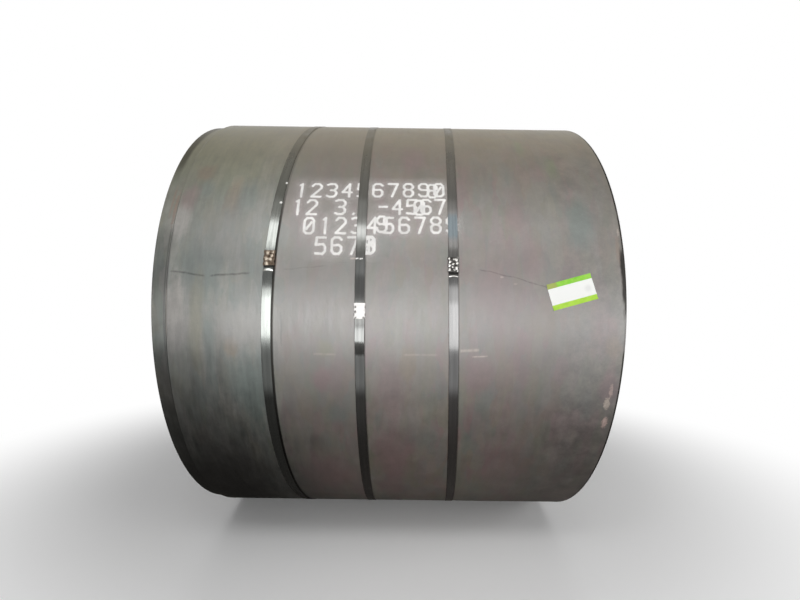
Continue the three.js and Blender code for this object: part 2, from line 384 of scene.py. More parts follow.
# %% Wrap a strap round the coil
SEAL_ZONE = 8.0              # degrees each side of a seal that get closely spaced sections
STRAP_ROWS = (80, 300, 170)  # sections up to the seal, round the coil and out to the end
LAP_EASE = 3.0
LAP_RISE = 1.1               # thicknesses that the upper end rises to clear the lower
RIBBON_PLACES = np.array([-1, -0.97, -0.75, -0.5, -0.25, 0, 0.25, 0.5, 0.75, 0.97, 1])
RIBBON_EDGE = 0.35           # the share of the thickness that is left at the very edge
FREE_END_SHAPES = {
    "left": {"kink": 0.0018, "at": 0.008, "run": 0.012, "spring": 0.0},
    "middle": {"kink": 0.0, "at": 0.0, "run": 0.010, "spring": 0.006},
    "right": {"kink": 0.0018, "at": 0.007, "run": 0.012, "spring": 0.0},
}
KINK_BOW = 0.004


def free_end_height(shape, free, below_seal, place):
    """How far the upper end stands off the lower: a kink that the crimping tool has left,
    bowed across the strap by the square of the place, plus a spring towards the cut end."""
    bowed = below_seal - shape["at"] - KINK_BOW * place ** 2
    spring = shape["spring"] * ease(below_seal / free) * (below_seal > 0)
    return shape["kink"] * ease(bowed / shape["run"]) + spring


def kink_wear(shape, below_seal, place):
    """How bare the kink is rubbed: full in the middle of its run, and gone at its ends."""
    run = (below_seal - shape["at"] - KINK_BOW * place ** 2) / shape["run"]
    return (shape["kink"] > 0) * np.clip(1 - np.abs(run - 0.5) * 4, 0, 1)


def make_strap(name, strap):
    """A ribbon from the buried lower end, once round the coil and over itself to the free
    end. Rows are sections along it, columns go over the top face and back underneath."""
    high = strap["seal"] + arc_degrees(SEAL_LENGTH / 2 + STRAP_BURIED)
    low = strap["seal"] - arc_degrees(SEAL_LENGTH / 2 + strap["free"])
    ends = (high, strap["seal"] - SEAL_ZONE, strap["seal"] - 360 + SEAL_ZONE, low - 360)
    buried, once_round, lap = (np.linspace(*run) for run in zip(ends, ends[1:], STRAP_ROWS))
    degrees = np.concatenate([buried, once_round[1:], lap[1:]])[:, None]
    place = np.concatenate([RIBBON_PLACES, RIBBON_PLACES[::-1]])
    face = np.repeat([0.5, -0.5], len(RIBBON_PLACES))
    face = face * np.where(np.abs(place) == 1, RIBBON_EDGE, 1)
    lapped = ease((high - 360 + LAP_EASE - degrees) / LAP_EASE)
    below_seal = RADIUS * np.radians(strap["seal"] - 360 - degrees) - SEAL_LENGTH / 2
    lift = CLEARANCE + STRAP_THICKNESS * (0.5 + LAP_RISE * lapped)
    lift = lift + free_end_height(FREE_END_SHAPES[name], strap["free"], below_seal, place)
    radius = taut_radius(degrees[:, 0])[:, None] + lift + face * STRAP_THICKNESS
    x = strap_x(strap, degrees) + place * STRAP_WIDTH / 2
    ribbon = band(f"{name}_strap_ribbon", around(x, degrees, radius))
    mark(ribbon, "along", np.broadcast_to(RADIUS * np.radians(-degrees), radius.shape))
    mark(ribbon, "across", np.broadcast_to(place * STRAP_WIDTH / 2, radius.shape))
    mark(ribbon, "kink", kink_wear(FREE_END_SHAPES[name], below_seal, place))
    return ribbon


ribbons = {name: make_strap(name, strap) for name, strap in STRAPS.items()}

# %% [markdown]
# ## The seals
#
# A seal is a short clip of sheet steel, folded over both ends of the strap and then bitten
# by the jaws of a crimping tool. The jaws nip its two sides and leave rows of dents in its
# face, so it is the roughest thing on the coil and glitters in every light. Its section goes
# up one side, over the face and down the other side, and back along the inner wall. The
# dents are a height added to the face: each seal has its own list of blows.

# %% Blows on the seals
SEAL_BLOWS = {
    "left": [(7, 8, 5, 1.5), (-3, -9, 5, 1.7), (-6, 4, 6, 1.4), (16, -6, 6, 1.2),
             (14, 3, 3, -1.2), (4, -2, 4, -1.3), (-13, -1, 4, -1.1), (1, 12, 4, -1.0),
             (-19, -7, 6, 1.8), (-20, 6, 5, -0.8), (19, 11, 4, 1.0)],
    "middle": [(13, -15, 4, -1.3), (-3, -15, 4.5, -1.4), (9, 2, 7, 0.5), (-10, 6, 7, 0.5),
               (-23, -14, 5, -1.0), (-24, 14, 6, -1.2), (3, 15, 3, -0.6), (18, 16, 3, -0.5)],
    "right": [(20, -14, 3, 1.5), (9, -12, 4, 1.6), (-4, -13, 4, 1.5), (-17, -12, 4, 1.6),
              (15, 11, 5, 1.4), (3, 13, 4, 1.3), (-12, 10, 5, 1.5), (-21, 14, 3, 1.0),
              (2, 0, 4, 1.1), (-9, -3, 3, 1.2), (17, 1, 3, 1.1), (-18, 2, 3, 0.8),
              (20, -6, 4, -1.3), (10, 4, 4, -1.2), (-3, 7, 4, -1.3), (-14, -6, 3, -1.2),
              (5, -6, 3, -1.0)],
}


def blows(along, across, hits):
    """The sum of round dents and lumps: each is a height times a bell curve of the distance
    from its middle, which is given in millimetres along and across the seal."""
    height = np.zeros(np.broadcast(along, across).shape)
    for at, beside, size, rise in hits:
        distance = ((along - at / 1000) ** 2 + (across - beside / 1000) ** 2) * 1e6
        height += rise / 1000 * np.exp(-distance / size ** 2)
    return height


print("blows:", {name: len(hits) for name, hits in SEAL_BLOWS.items()})

# %% Crimp the seals
SEAL_LIFT = 0.0028           # the inner face of a seal above the coil, clear of two layers
SEAL_BEND = 0.0016
NIP_AT = 0.012
NIP_REACH = 0.0045
NIP_DEPTH = 0.0019
SIDE_FROM, SIDE_RUN = 0.011, 0.007       # where the nipped sides begin, off the middle
FACE_FADE = 0.003                        # dents die away this close to the sides
SEAL_ROWS, FACE_POINTS, BEND_POINTS = 56, 32, 5


def seal_section():
    """The outer wall from the foot of one side over the face to the other foot, as places
    across and heights above the coil. The corners are quarter arcs."""
    bend = np.radians(np.linspace(0, 90, BEND_POINTS))
    reach = SEAL_WIDTH / 2 - SEAL_BEND
    rise = SEAL_LIFT + SEAL_THICKNESS - SEAL_BEND
    left = np.stack([-reach - SEAL_BEND * np.cos(bend), rise + SEAL_BEND * np.sin(bend)])
    face = np.stack([np.linspace(-reach, reach, FACE_POINTS + 2)[1:-1],
                     np.full(FACE_POINTS, SEAL_LIFT + SEAL_THICKNESS)])
    foot = np.array([[-SEAL_WIDTH / 2] * 2, [CLEARANCE, rise / 2]])
    half = np.concatenate([foot, left], 1)
    mirrored = np.stack([-half[0][::-1], half[1][::-1]])
    return np.concatenate([half, face, mirrored], 1)


def make_seal(name, strap):
    """The outer wall is the section plus its blows and nips; the inner wall is the same
    section drawn in by the sheet's thickness."""
    along = np.linspace(-SEAL_LENGTH / 2, SEAL_LENGTH / 2, SEAL_ROWS)[:, None]
    across, height = seal_section()
    nip = sum(np.exp(-((along - at) / NIP_REACH) ** 4) for at in (-NIP_AT, NIP_AT))
    on_side = ease((np.abs(across) - SIDE_FROM) / SIDE_RUN)
    drawn_in = np.sign(across) * NIP_DEPTH * nip * on_side
    on_face = ease((SEAL_WIDTH / 2 - np.abs(across)) / FACE_FADE)
    dents = blows(along, across, SEAL_BLOWS[name]) * on_face
    outer_x, outer_h = across - drawn_in, height + dents
    inner_x = np.clip(outer_x, SEAL_THICKNESS - SEAL_WIDTH / 2, SEAL_WIDTH / 2 - SEAL_THICKNESS)
    inner_h = np.clip(outer_h - SEAL_THICKNESS, CLEARANCE, None)
    inner_h = np.where(np.abs(across) > SEAL_WIDTH / 2 - SEAL_THICKNESS,
                       np.minimum(height, SEAL_LIFT), inner_h)
    x = np.concatenate([outer_x, inner_x[:, ::-1]], 1)
    lift = np.concatenate([outer_h, inner_h[:, ::-1]], 1)
    degrees = strap["seal"] + arc_degrees(along)
    grid = around(strap_x(strap, degrees) + x, degrees, taut_radius(degrees[:, 0])[:, None] + lift)
    seal = band(f"{name}_seal_clip", grid, sharp=50)
    mark(seal, "dent", np.concatenate([dents, dents[:, ::-1]], 1))
    return seal


seals = {name: make_seal(name, strap) for name, strap in STRAPS.items()}

# %% [markdown]
# ## The label
#
# A paper label is stuck on the last turn, a little askew. It follows the round of the steel,
# and its corners have begun to lift. So it is a thin curved sheet: places along and up the
# label are turned by its tilt, then wrapped round the coil, and the lift grows towards the
# corners with a high power of the distance, which keeps the middle stuck down.

# %% Stick on the label
LABEL_SIZE = (0.150, 0.088)
LABEL_THICKNESS = 0.0004
LABEL_PLACE = {"x": COIL_RIGHT - 0.178, "degrees": 11.2}
LABEL_TILT = np.radians(16.0)
CORNER_LIFT, CORNER_POWER = 0.0022, 8


def label_sheet(rows=60, columns=30):
    """A grid along the label, each row a section that goes up its face and back down."""
    u = np.linspace(-1, 1, rows)[:, None]
    v = np.linspace(-1, 1, columns)
    v = np.concatenate([v, v[::-1]])
    p, q = u * LABEL_SIZE[0] / 2, v * LABEL_SIZE[1] / 2
    x = LABEL_PLACE["x"] + p * np.cos(LABEL_TILT) - q * np.sin(LABEL_TILT)
    up = p * np.sin(LABEL_TILT) + q * np.cos(LABEL_TILT)
    lift = CLEARANCE + CORNER_LIFT * (u * v) ** CORNER_POWER
    lift = lift + LABEL_THICKNESS * np.repeat([1, 0], columns)
    return around(x, LABEL_PLACE["degrees"] + arc_degrees(up), RADIUS + lift), u, v


sheet, label_u, label_v = label_sheet()
label = band("label_sheet", sheet, sharp=60)
mark(label, "along", np.broadcast_to(label_u, sheet.shape[:2]))
mark(label, "up", np.broadcast_to(label_v, sheet.shape[:2]))

# %% [markdown]
# ## The sprayed numbers
#
# Mills spray numbers on the last turn with a row of small jets, before the straps go on, so
# the straps hide a part of them. These are plain running digits. Jets leave soft strokes, a
# haze of overspray around them, and here and there a digit that was struck twice.
#
# The paint is a film a tenth of a millimetre above the steel: a fine grid on which every
# point measures its distance to the nearest stroke, and keeps a density from it. The
# material turns that density into opacity. Squares without paint are left out.

# %% The strokes of each digit
DIGIT_STROKES = {
    "0": ["0,1 0,5 1,6 3,6 4,5 4,1 3,0 1,0 0,1", "1,1.6 3,4.4"],
    "1": ["1.4,5.4 2.2,6 2.2,0"],
    "2": ["0,5 1,6 3,6 4,5 4,4 0,0 4,0"],
    "3": ["0,5.6 1,6 3,6 4,5 4,4 3,3 1.5,3", "3,3 4,2 4,1 3,0 1,0 0,0.4"],
    "4": ["3,0 3,6 0,2 4,2"],
    "5": ["4,6 0.3,6 0,3.3 3,3.6 4,2.6 4,1 3,0 0,0.2"],
    "6": ["4,5.2 3,6 1,6 0,5 0,1 1,0 3,0 4,1 4,2.4 3,3.2 0,3"],
    "7": ["0,6 4,6 1.6,0"],
    "8": ["1,3.2 0,4.2 0,5 1,6 3,6 4,5 4,4.2 3,3.2 1,3.2 0,2.2 0,1 1,0 3,0 4,1 4,2.2 3,3.2"],
    "9": ["0,0.8 1,0 3,0 4,1 4,5 3,6 1,6 0,5 0,3.8 1,3 4,3"],
    "-": ["0.4,3 3.6,3"],
    ".": ["1.5,0 1.7,0.2"],
}
CELL = (0.0078, 0.0097)      # one step of the digits' grid, across and up


def digit_lines(character, x, top):
    """The strokes of a character as pairs of end points, with its top left corner given."""
    lines = []
    for stroke in DIGIT_STROKES.get(character, []):
        knots = np.array([knot.split(",") for knot in stroke.split()], float)
        knots = knots * CELL + (x, top - 6 * CELL[1])
        lines.append(np.stack([knots[:-1], knots[1:]], 1))
    return lines


print("strokes are known for", " ".join(DIGIT_STROKES))

# %% Lay out the digits
DIGIT_PITCH = 0.0532
ROW_PITCH = 0.0735
ROW_SLOPE = np.tan(np.radians(1.2))
ROWS_TOP = RADIUS * np.radians(35.6) - 0.004
# A row: where it starts, how close its digits stand, and what it says.
ROWS = [(-0.327, 1.0, "1234567890"), (-0.332, 9.6 / 10.5, "12 3. -4567"),
        (-0.287, 1.0, "0123456789"), (-0.244, 1.0, "5678")]
# A digit struck over another: the row and column of that one, and how far right and up.
STRUCK_AGAIN = [(0, 8, "8", 0.030, -0.004), (1, 8, "0", 0.026, -0.003),
                (2, 5, "9", -0.022, 0.004), (3, 3, "0", 0.003, 0.002), (3, 3, "1", -0.001, 0.0)]


def row_place(row, column):
    """Where a character starts: along its row by the pitch, rising with the row's slope."""
    start, close, _ = ROWS[row]
    x = start + column * DIGIT_PITCH * close
    return x, ROWS_TOP - row * ROW_PITCH + (x - ROWS[0][0]) * ROW_SLOPE


lines = []
for row, (_, _, text) in enumerate(ROWS):
    for column, character in enumerate(text):
        lines += digit_lines(character, *row_place(row, column))
for row, column, character, right, up in STRUCK_AGAIN:
    x, top = row_place(row, column)
    lines += digit_lines(character, x + right, top + up)
lines = np.concatenate(lines)
print(len(lines), "strokes in", len(ROWS), "rows")

# %% Spray them on
STROKE_REACH, STROKE_SOFT = 0.0045, 0.0036
HAZE, HAZE_REACH = 0.20, 0.028
HALO, HALO_REACH = 0.22, 0.010
FILM_STEP = 0.0021
FILM_LIFT = 0.0001
FILM_MARGIN = 0.03
BARE = 0.012                 # squares with less paint than this are left out


def distance_to_lines(x, up, lines):
    """The distance from each point to the nearest stroke: to the foot of the perpendicular
    on the stroke, held between its two ends."""
    nearest = np.full(x.shape, np.inf)
    for (ax, ay), (bx, by) in lines:
        length = max((bx - ax) ** 2 + (by - ay) ** 2, 1e-12)
        share = np.clip(((x - ax) * (bx - ax) + (up - ay) * (by - ay)) / length, 0, 1)
        reach = np.hypot(x - ax - share * (bx - ax), up - ay - share * (by - ay))
        nearest = np.minimum(nearest, reach)
    return nearest


low, high = lines.reshape(-1, 2).min(0) - FILM_MARGIN, lines.reshape(-1, 2).max(0) + FILM_MARGIN
film_x, film_up = np.meshgrid(np.arange(low[0], high[0], FILM_STEP),
                              np.arange(low[1], high[1], FILM_STEP), indexing="ij")
nearest = distance_to_lines(film_x, film_up, lines)
strokes = 1 - ease((nearest - STROKE_REACH + STROKE_SOFT) / (2 * STROKE_SOFT))
haze = HAZE * np.exp(-(nearest / HAZE_REACH) ** 2) + HALO * np.exp(-(nearest / HALO_REACH) ** 2)
density = np.maximum(strokes, haze)
film = around(film_x, np.degrees(film_up / RADIUS), RADIUS + FILM_LIFT).reshape(-1, 3)
rows, columns = film_x.shape
quads = grid_faces(rows, columns)
quads = quads[np.tile(np.arange(columns) < columns - 1, rows - 1)]
quads = quads[density.ravel()[quads].max(1) > BARE]
used, quads = np.unique(quads, return_inverse=True)
quads = quads.reshape(-1, 4)[:, ::-1]
marking = build_mesh("sprayed_numbers", film[used], [quads])
finish_mesh(marking, 60)
mark(marking, "paint", density.ravel()[used])
mark(marking, "stroke", strokes.ravel()[used])

# %% [markdown]
# ## A short way to write nodes
#
# A material is a tree of nodes. Two small classes let a finish read like a formula. A Wire
# is what comes out of a node, and adding or multiplying wires places the Math nodes that do
# so. A Tree places any other node, sets its values and joins its inputs in one line. An
# input may be given a number, a colour or a wire.

# %% Wires
class Wire:
    """An output of a node. Sums, products and the like of wires are nodes too."""

    def __init__(self, tree, socket):
        self.tree, self.socket = tree, socket

    def __add__(self, other):
        return self.tree.math("ADD", self, other)

    def __sub__(self, other):
        return self.tree.math("SUBTRACT", self, other)

    def __rsub__(self, other):
        return self.tree.math("SUBTRACT", other, self)

    def __mul__(self, other):
        return self.tree.math("MULTIPLY", self, other)

    def __truediv__(self, other):
        return self.tree.math("DIVIDE", self, other)

    def __abs__(self):
        return self.tree.math("ABSOLUTE", self)

    __radd__, __rmul__ = __add__, __mul__

# %% Trees
class Tree:
    """Places and joins the nodes of one node tree."""

    def __init__(self, tree):
        self.tree = tree

    def put(self, socket, value):
        """Joins a wire to an input, or sets the input to a number or a colour."""
        if isinstance(value, Wire):
            self.tree.links.new(value.socket, socket)
        elif socket.type == "RGBA" and len(value) == 3:
            socket.default_value = (*value, 1)
        else:
            socket.default_value = value

    def node(self, kind, inputs=None, **settings):
        """A new node with its settings made, and then its inputs."""
        made = self.tree.nodes.new("ShaderNode" + kind)
        for name, value in settings.items():
            setattr(made, name, value)
        for name, value in (inputs or {}).items():
            self.put(made.inputs[name], value)
        return made

    def out(self, kind, output=0, inputs=None, **settings):
        """One output of a new node, as a wire."""
        return Wire(self, self.node(kind, inputs, **settings).outputs[output])

    def math(self, operation, *values, clamp=False):
        """A Math node on these values, held between 0 and 1 if it is clamped."""
        return self.out("Math", 0, dict(enumerate(values)), operation=operation, use_clamp=clamp)

    def vector(self, operation, *values, output=0):
        """A Vector Math node on these vectors."""
        return self.out("VectorMath", output, dict(enumerate(values)), operation=operation)

    def most(self, first, *others):
        """The largest of several values."""
        for other in others:
            first = self.math("MAXIMUM", first, other)
        return first

    def length(self, across, up):
        """The root of the sum of two squares."""
        return self.math("SQRT", across * across + up * up)

    def split(self, vector):
        """The three parts of a vector or a colour."""
        return [Wire(self, part) for part in self.node("SeparateXYZ", {0: vector}).outputs]

    def join(self, x, y, z=0.0):
        """A vector from its three parts."""
        return self.out("CombineXYZ", 0, {0: x, 1: y, 2: z})

    def step(self, value, low, high, to_low=0.0, to_high=1.0):
        """Eases from one value to another while the input goes from low to high."""
        ends = {"Value": value, "From Min": low, "From Max": high, "To Min": to_low, "To Max": to_high}
        return self.out("MapRange", 0, ends, interpolation_type="SMOOTHSTEP")

    def between(self, value, low, full, fading, gone):
        """Eases up from low to full, and down again from fading to gone."""
        return self.step(value, low, full) * self.step(value, fading, gone, 1.0, 0.0)

    def mix(self, share, first, second, blend="MIX"):
        """The first colour where the share is 0, and the second blended over it where it is 1."""
        return self.out("Mix", 2, {0: share, 6: first, 7: second}, data_type="RGBA",
                        blend_type=blend)

    def noise(self, vector, scale, detail=3.0, roughness=0.5):
        """Noise from 0 to 1: scale is how many lumps fit in a metre."""
        return self.out("TexNoise", "Fac", {"Vector": vector, "Scale": scale, "Detail": detail,
                                            "Roughness": roughness})

    def stretch(self, vector, *scale):
        """A vector with its three parts scaled."""
        return self.out("Mapping", 0, {"Vector": vector, "Scale": scale})

    def bump(self, height, distance, strength=1.0, normal=None):
        """A normal leaned by a height in metres, on top of another normal if one is given."""
        inputs = {"Height": height, "Distance": distance, "Strength": strength}
        return self.out("Bump", 0, inputs if normal is None else {**inputs, "Normal": normal})

    def attribute(self, name):
        """The number that a piece carries under a name."""
        return self.out("Attribute", "Fac", attribute_name=name)

    def place(self):
        """Object coordinates, which are metres in the frame, as every piece is unmoved."""
        return self.out("TexCoord", "Object")

    def principled(self, inputs):
        """A Principled shader with these inputs, joined to the material's output."""
        self.node("OutputMaterial", {"Surface": self.out("BsdfPrincipled", 0, inputs)})

# %% Materials and node groups
def new_material(name):
    """An empty material, and the tree that its nodes go into."""
    made = bpy.data.materials.new(name)
    made.use_nodes = True
    made.node_tree.nodes.clear()
    return made, Tree(made.node_tree)


def label_of(name):
    """An input's name as a socket's label: half_width becomes Half width."""
    return name.replace("_", " ").capitalize()


def node_group(*outputs, **inputs):
    """Makes a function into a shader node group of the same name. Each input is named with
    the value that it starts at, and reaches the function as a wire. What the function gives
    goes to the named outputs."""
    def build(formula):
        """Places the group's input, then the formula's nodes, then the group's output."""
        group = bpy.data.node_groups.new(formula.__name__, "ShaderNodeTree")
        tree = Tree(group)
        for name, start in inputs.items():
            kind = "NodeSocketVector" if isinstance(start, tuple) else "NodeSocketFloat"
            made = group.interface.new_socket(label_of(name), in_out="INPUT", socket_type=kind)
            made.default_value = start
        for label in outputs:
            group.interface.new_socket(label, in_out="OUTPUT", socket_type="NodeSocketFloat")
        given = group.nodes.new("NodeGroupInput").outputs
        wires = {name: Wire(tree, given[label_of(name)]) for name in inputs}
        ending = group.nodes.new("NodeGroupOutput")
        for label, value in zip(outputs, formula(tree, **wires)):
            tree.put(ending.inputs[label], value)
        print("node group:", group.name, "->", ", ".join(outputs))
        return group
    return build


def use(tree, group, **inputs):
    """Places a group in a tree, and gives its output, or a list of them if it has more."""
    made = tree.node("Group", {label_of(name): value for name, value in inputs.items()},
                     node_tree=group)
    wires = [Wire(tree, output) for output in made.outputs]
    return wires if len(wires) > 1 else wires[0]

# %% [markdown]
# ## Effects that several finishes share
#
# Marks on a coil are found by two numbers: X, the place along the axis, and Arc, the
# distance round the outside from the front, upwards. The first group works those out from
# Object coordinates. The others draw a ragged patch, a thin wavering line, the fine streaks
# and the soft cells that rolling leaves along the strip, settled dust, and the distance from
# a strap. Streaks and cells read plain Object coordinates, squeezed along X and drawn out
# along Y and Z, so they follow the round of the coil and meet themselves at the back
# without a seam.

# %% Shared node groups
@node_group("X", "Arc", "Radius", "Height")
def place_on_coil(tree):
    """Arc is the outer radius times the angle whose tangent is height over minus y. It
    jumps at the back, so what runs all the way round goes by the height above the axis."""
    x, y, z = tree.split(tree.place())
    height, forward = z - AXIS_HEIGHT, y * -1.0
    return x, tree.math("ARCTAN2", height, forward) * RADIUS, tree.length(height, forward), height


@node_group("Mask", x=0.0, arc=0.0, at_x=0.0, at_arc=0.0, half_width=0.1, half_height=0.1,
            soft=0.4, rough=0.0, ragged=1.0)
def ragged_patch(tree, x, arc, at_x, at_arc, half_width, half_height, soft, rough, ragged):
    """The distance from the middle, each way measured in half sizes, plus a share of the
    rough noise, eased from inside to outside over the soft edge."""
    reach = tree.length((x - at_x) / half_width, (arc - at_arc) / half_height) + rough * ragged
    return [tree.step(reach, 1.0 - soft, 1.0 + soft, 1.0, 0.0)]


@node_group("Mask", x=0.0, arc=0.0, from_x=0.0, from_arc=0.0, to_x=0.1, to_arc=0.0,
            width=0.003, wave=0.014, least=0.4)
def wavering_line(tree, x, arc, from_x, from_arc, to_x, to_arc, width, wave, least):
    """Above is the height over a straight line between two ends, moved by a wave of noise.
    The mask is full on the line, and fades over its width and past its ends."""
    share = (x - from_x) / (to_x - from_x)
    level = tree.math("ADD", share, 0.0, clamp=True) * (to_arc - from_arc) + from_arc
    spread = tree.stretch(tree.place(), 1.0, 0.0, 0.0)
    above = arc - (level + (tree.noise(spread, 17.0) - 0.5) * wave)
    near = tree.step(abs(above), 0.0, width, 1.0, 0.0)
    broken = tree.step(tree.noise(spread, 60.0, 2.0), 0.3, 0.6, least, 1.0)
    return [near * tree.between(share, -0.03, 0.06, 0.9, 1.03) * broken]


def drawn_out(tree, across, along):
    """Object coordinates, squeezed across the strip and drawn out along it."""
    return tree.vector("MULTIPLY", tree.place(), tree.join(across, along, along))


@node_group("Mask", across=60.0, along=2.0, move=(0.0, 0.0, 0.0), low=0.3, high=0.7)
def rolling_streaks(tree, across, along, move, low, high):
    """Noise on drawn-out coordinates, eased from low to high."""
    moved = tree.vector("ADD", drawn_out(tree, across, along), move)
    return [tree.step(tree.noise(moved, 1.0, 4.0, 0.6), low, high)]


@node_group("First", "Second", "Third", across=30.0, along=9.0)
def scale_cells(tree, across, along):
    """Soft cells of chance value, drawn out along the strip, on coordinates that a noise
    has shaken so that the cells' borders waver."""
    drawn = drawn_out(tree, across, along)
    shake = tree.out("TexNoise", "Color", {"Vector": drawn, "Scale": 1.3, "Detail": 4.0})
    moved = tree.vector("ADD", shake, drawn)
    return tree.split(tree.out("TexVoronoi", "Color", {"Vector": moved, "Scale": 1.0,
                                                       "Smoothness": 0.25}, feature="SMOOTH_F1"))


@node_group("Mask", low=0.66, high=0.93)
def settled_dust(tree, low, high):
    """The height above the axis as a share of the radius, eased from low to high, and
    thinned by noise."""
    share = (tree.split(tree.place())[2] - AXIS_HEIGHT) / RADIUS
    thin = tree.step(tree.noise(tree.place(), 9.0, 5.0, 0.65), 0.3, 0.6, 0.6, 1.0)
    return [tree.step(share, low, high) * thin]


@node_group("Aside", x=0.0, arc=0.0, middle=0.0, front=0.0, top=0.0)
def beside_strap(tree, x, arc, middle, front, top):
    """How far a point lies to the right of a strap's middle: its X less the strap's own,
    which leans by a share of the cosine and a share of the sine of the angle."""
    angle = arc / RADIUS
    return [x - (middle + tree.math("COSINE", angle) * front + tree.math("SINE", angle) * top)]

# %% [markdown]
# ## Mill scale
#
# Strip leaves a hot mill under a skin of iron oxide: blue-grey, dull, and drawn into bands
# and streaks by the rolls and the water sprays. Oxide is no metal, so the shader is a plain
# dark one with a soft gloss, not a metallic one. Bands come first, then the tints that the
# skin takes on as it cools, then the marks of handling.

# %% Tints of the coil
GREY = (0.108, 0.098, 0.087)
TEAL = (0.070, 0.093, 0.083)
OLIVE = (0.106, 0.100, 0.058)
MAUVE = (0.126, 0.079, 0.079)
PALE = (0.165, 0.158, 0.145)
DARK = (0.022, 0.021, 0.020)
BROWN = (0.124, 0.092, 0.058)
MOSS = (0.100, 0.108, 0.062)
BLACK = (0.008, 0.007, 0.006)
DUST = (0.193, 0.159, 0.083)
BARE_EDGE = (0.085, 0.076, 0.068)
RUST = (0.150, 0.075, 0.040)
OLD_RUST = (0.120, 0.075, 0.048)
SCUFF_AND_GLINT = (0.38, 0.32, 0.27)
SCUFFED_PINK = (0.37, 0.27, 0.24)
print("the scale's own grey:", GREY)

# %% Where the marks lie
# A mottle: its tint, its noise (across, along, where it starts), the range of the cells it
# fills, and its share everywhere, more at the left and more at the right.
MOTTLES = [
    (TEAL, (21.0, 6.0, 3.1), (0.55, 0.62), (0.45, 0.30, 0.0)),
    (MAUVE, (17.0, 7.0, 7.7), (0.55, 0.62), (0.75, -0.50, 0.1)),
    (OLIVE, (25.0, 8.0, 1.3), (0.60, 0.68), (0.45, 0.10, 0.0)),
    (PALE, (30.0, 6.0, 5.9), (0.38, 0.30), (0.25, 0.45, 0.0)),
]
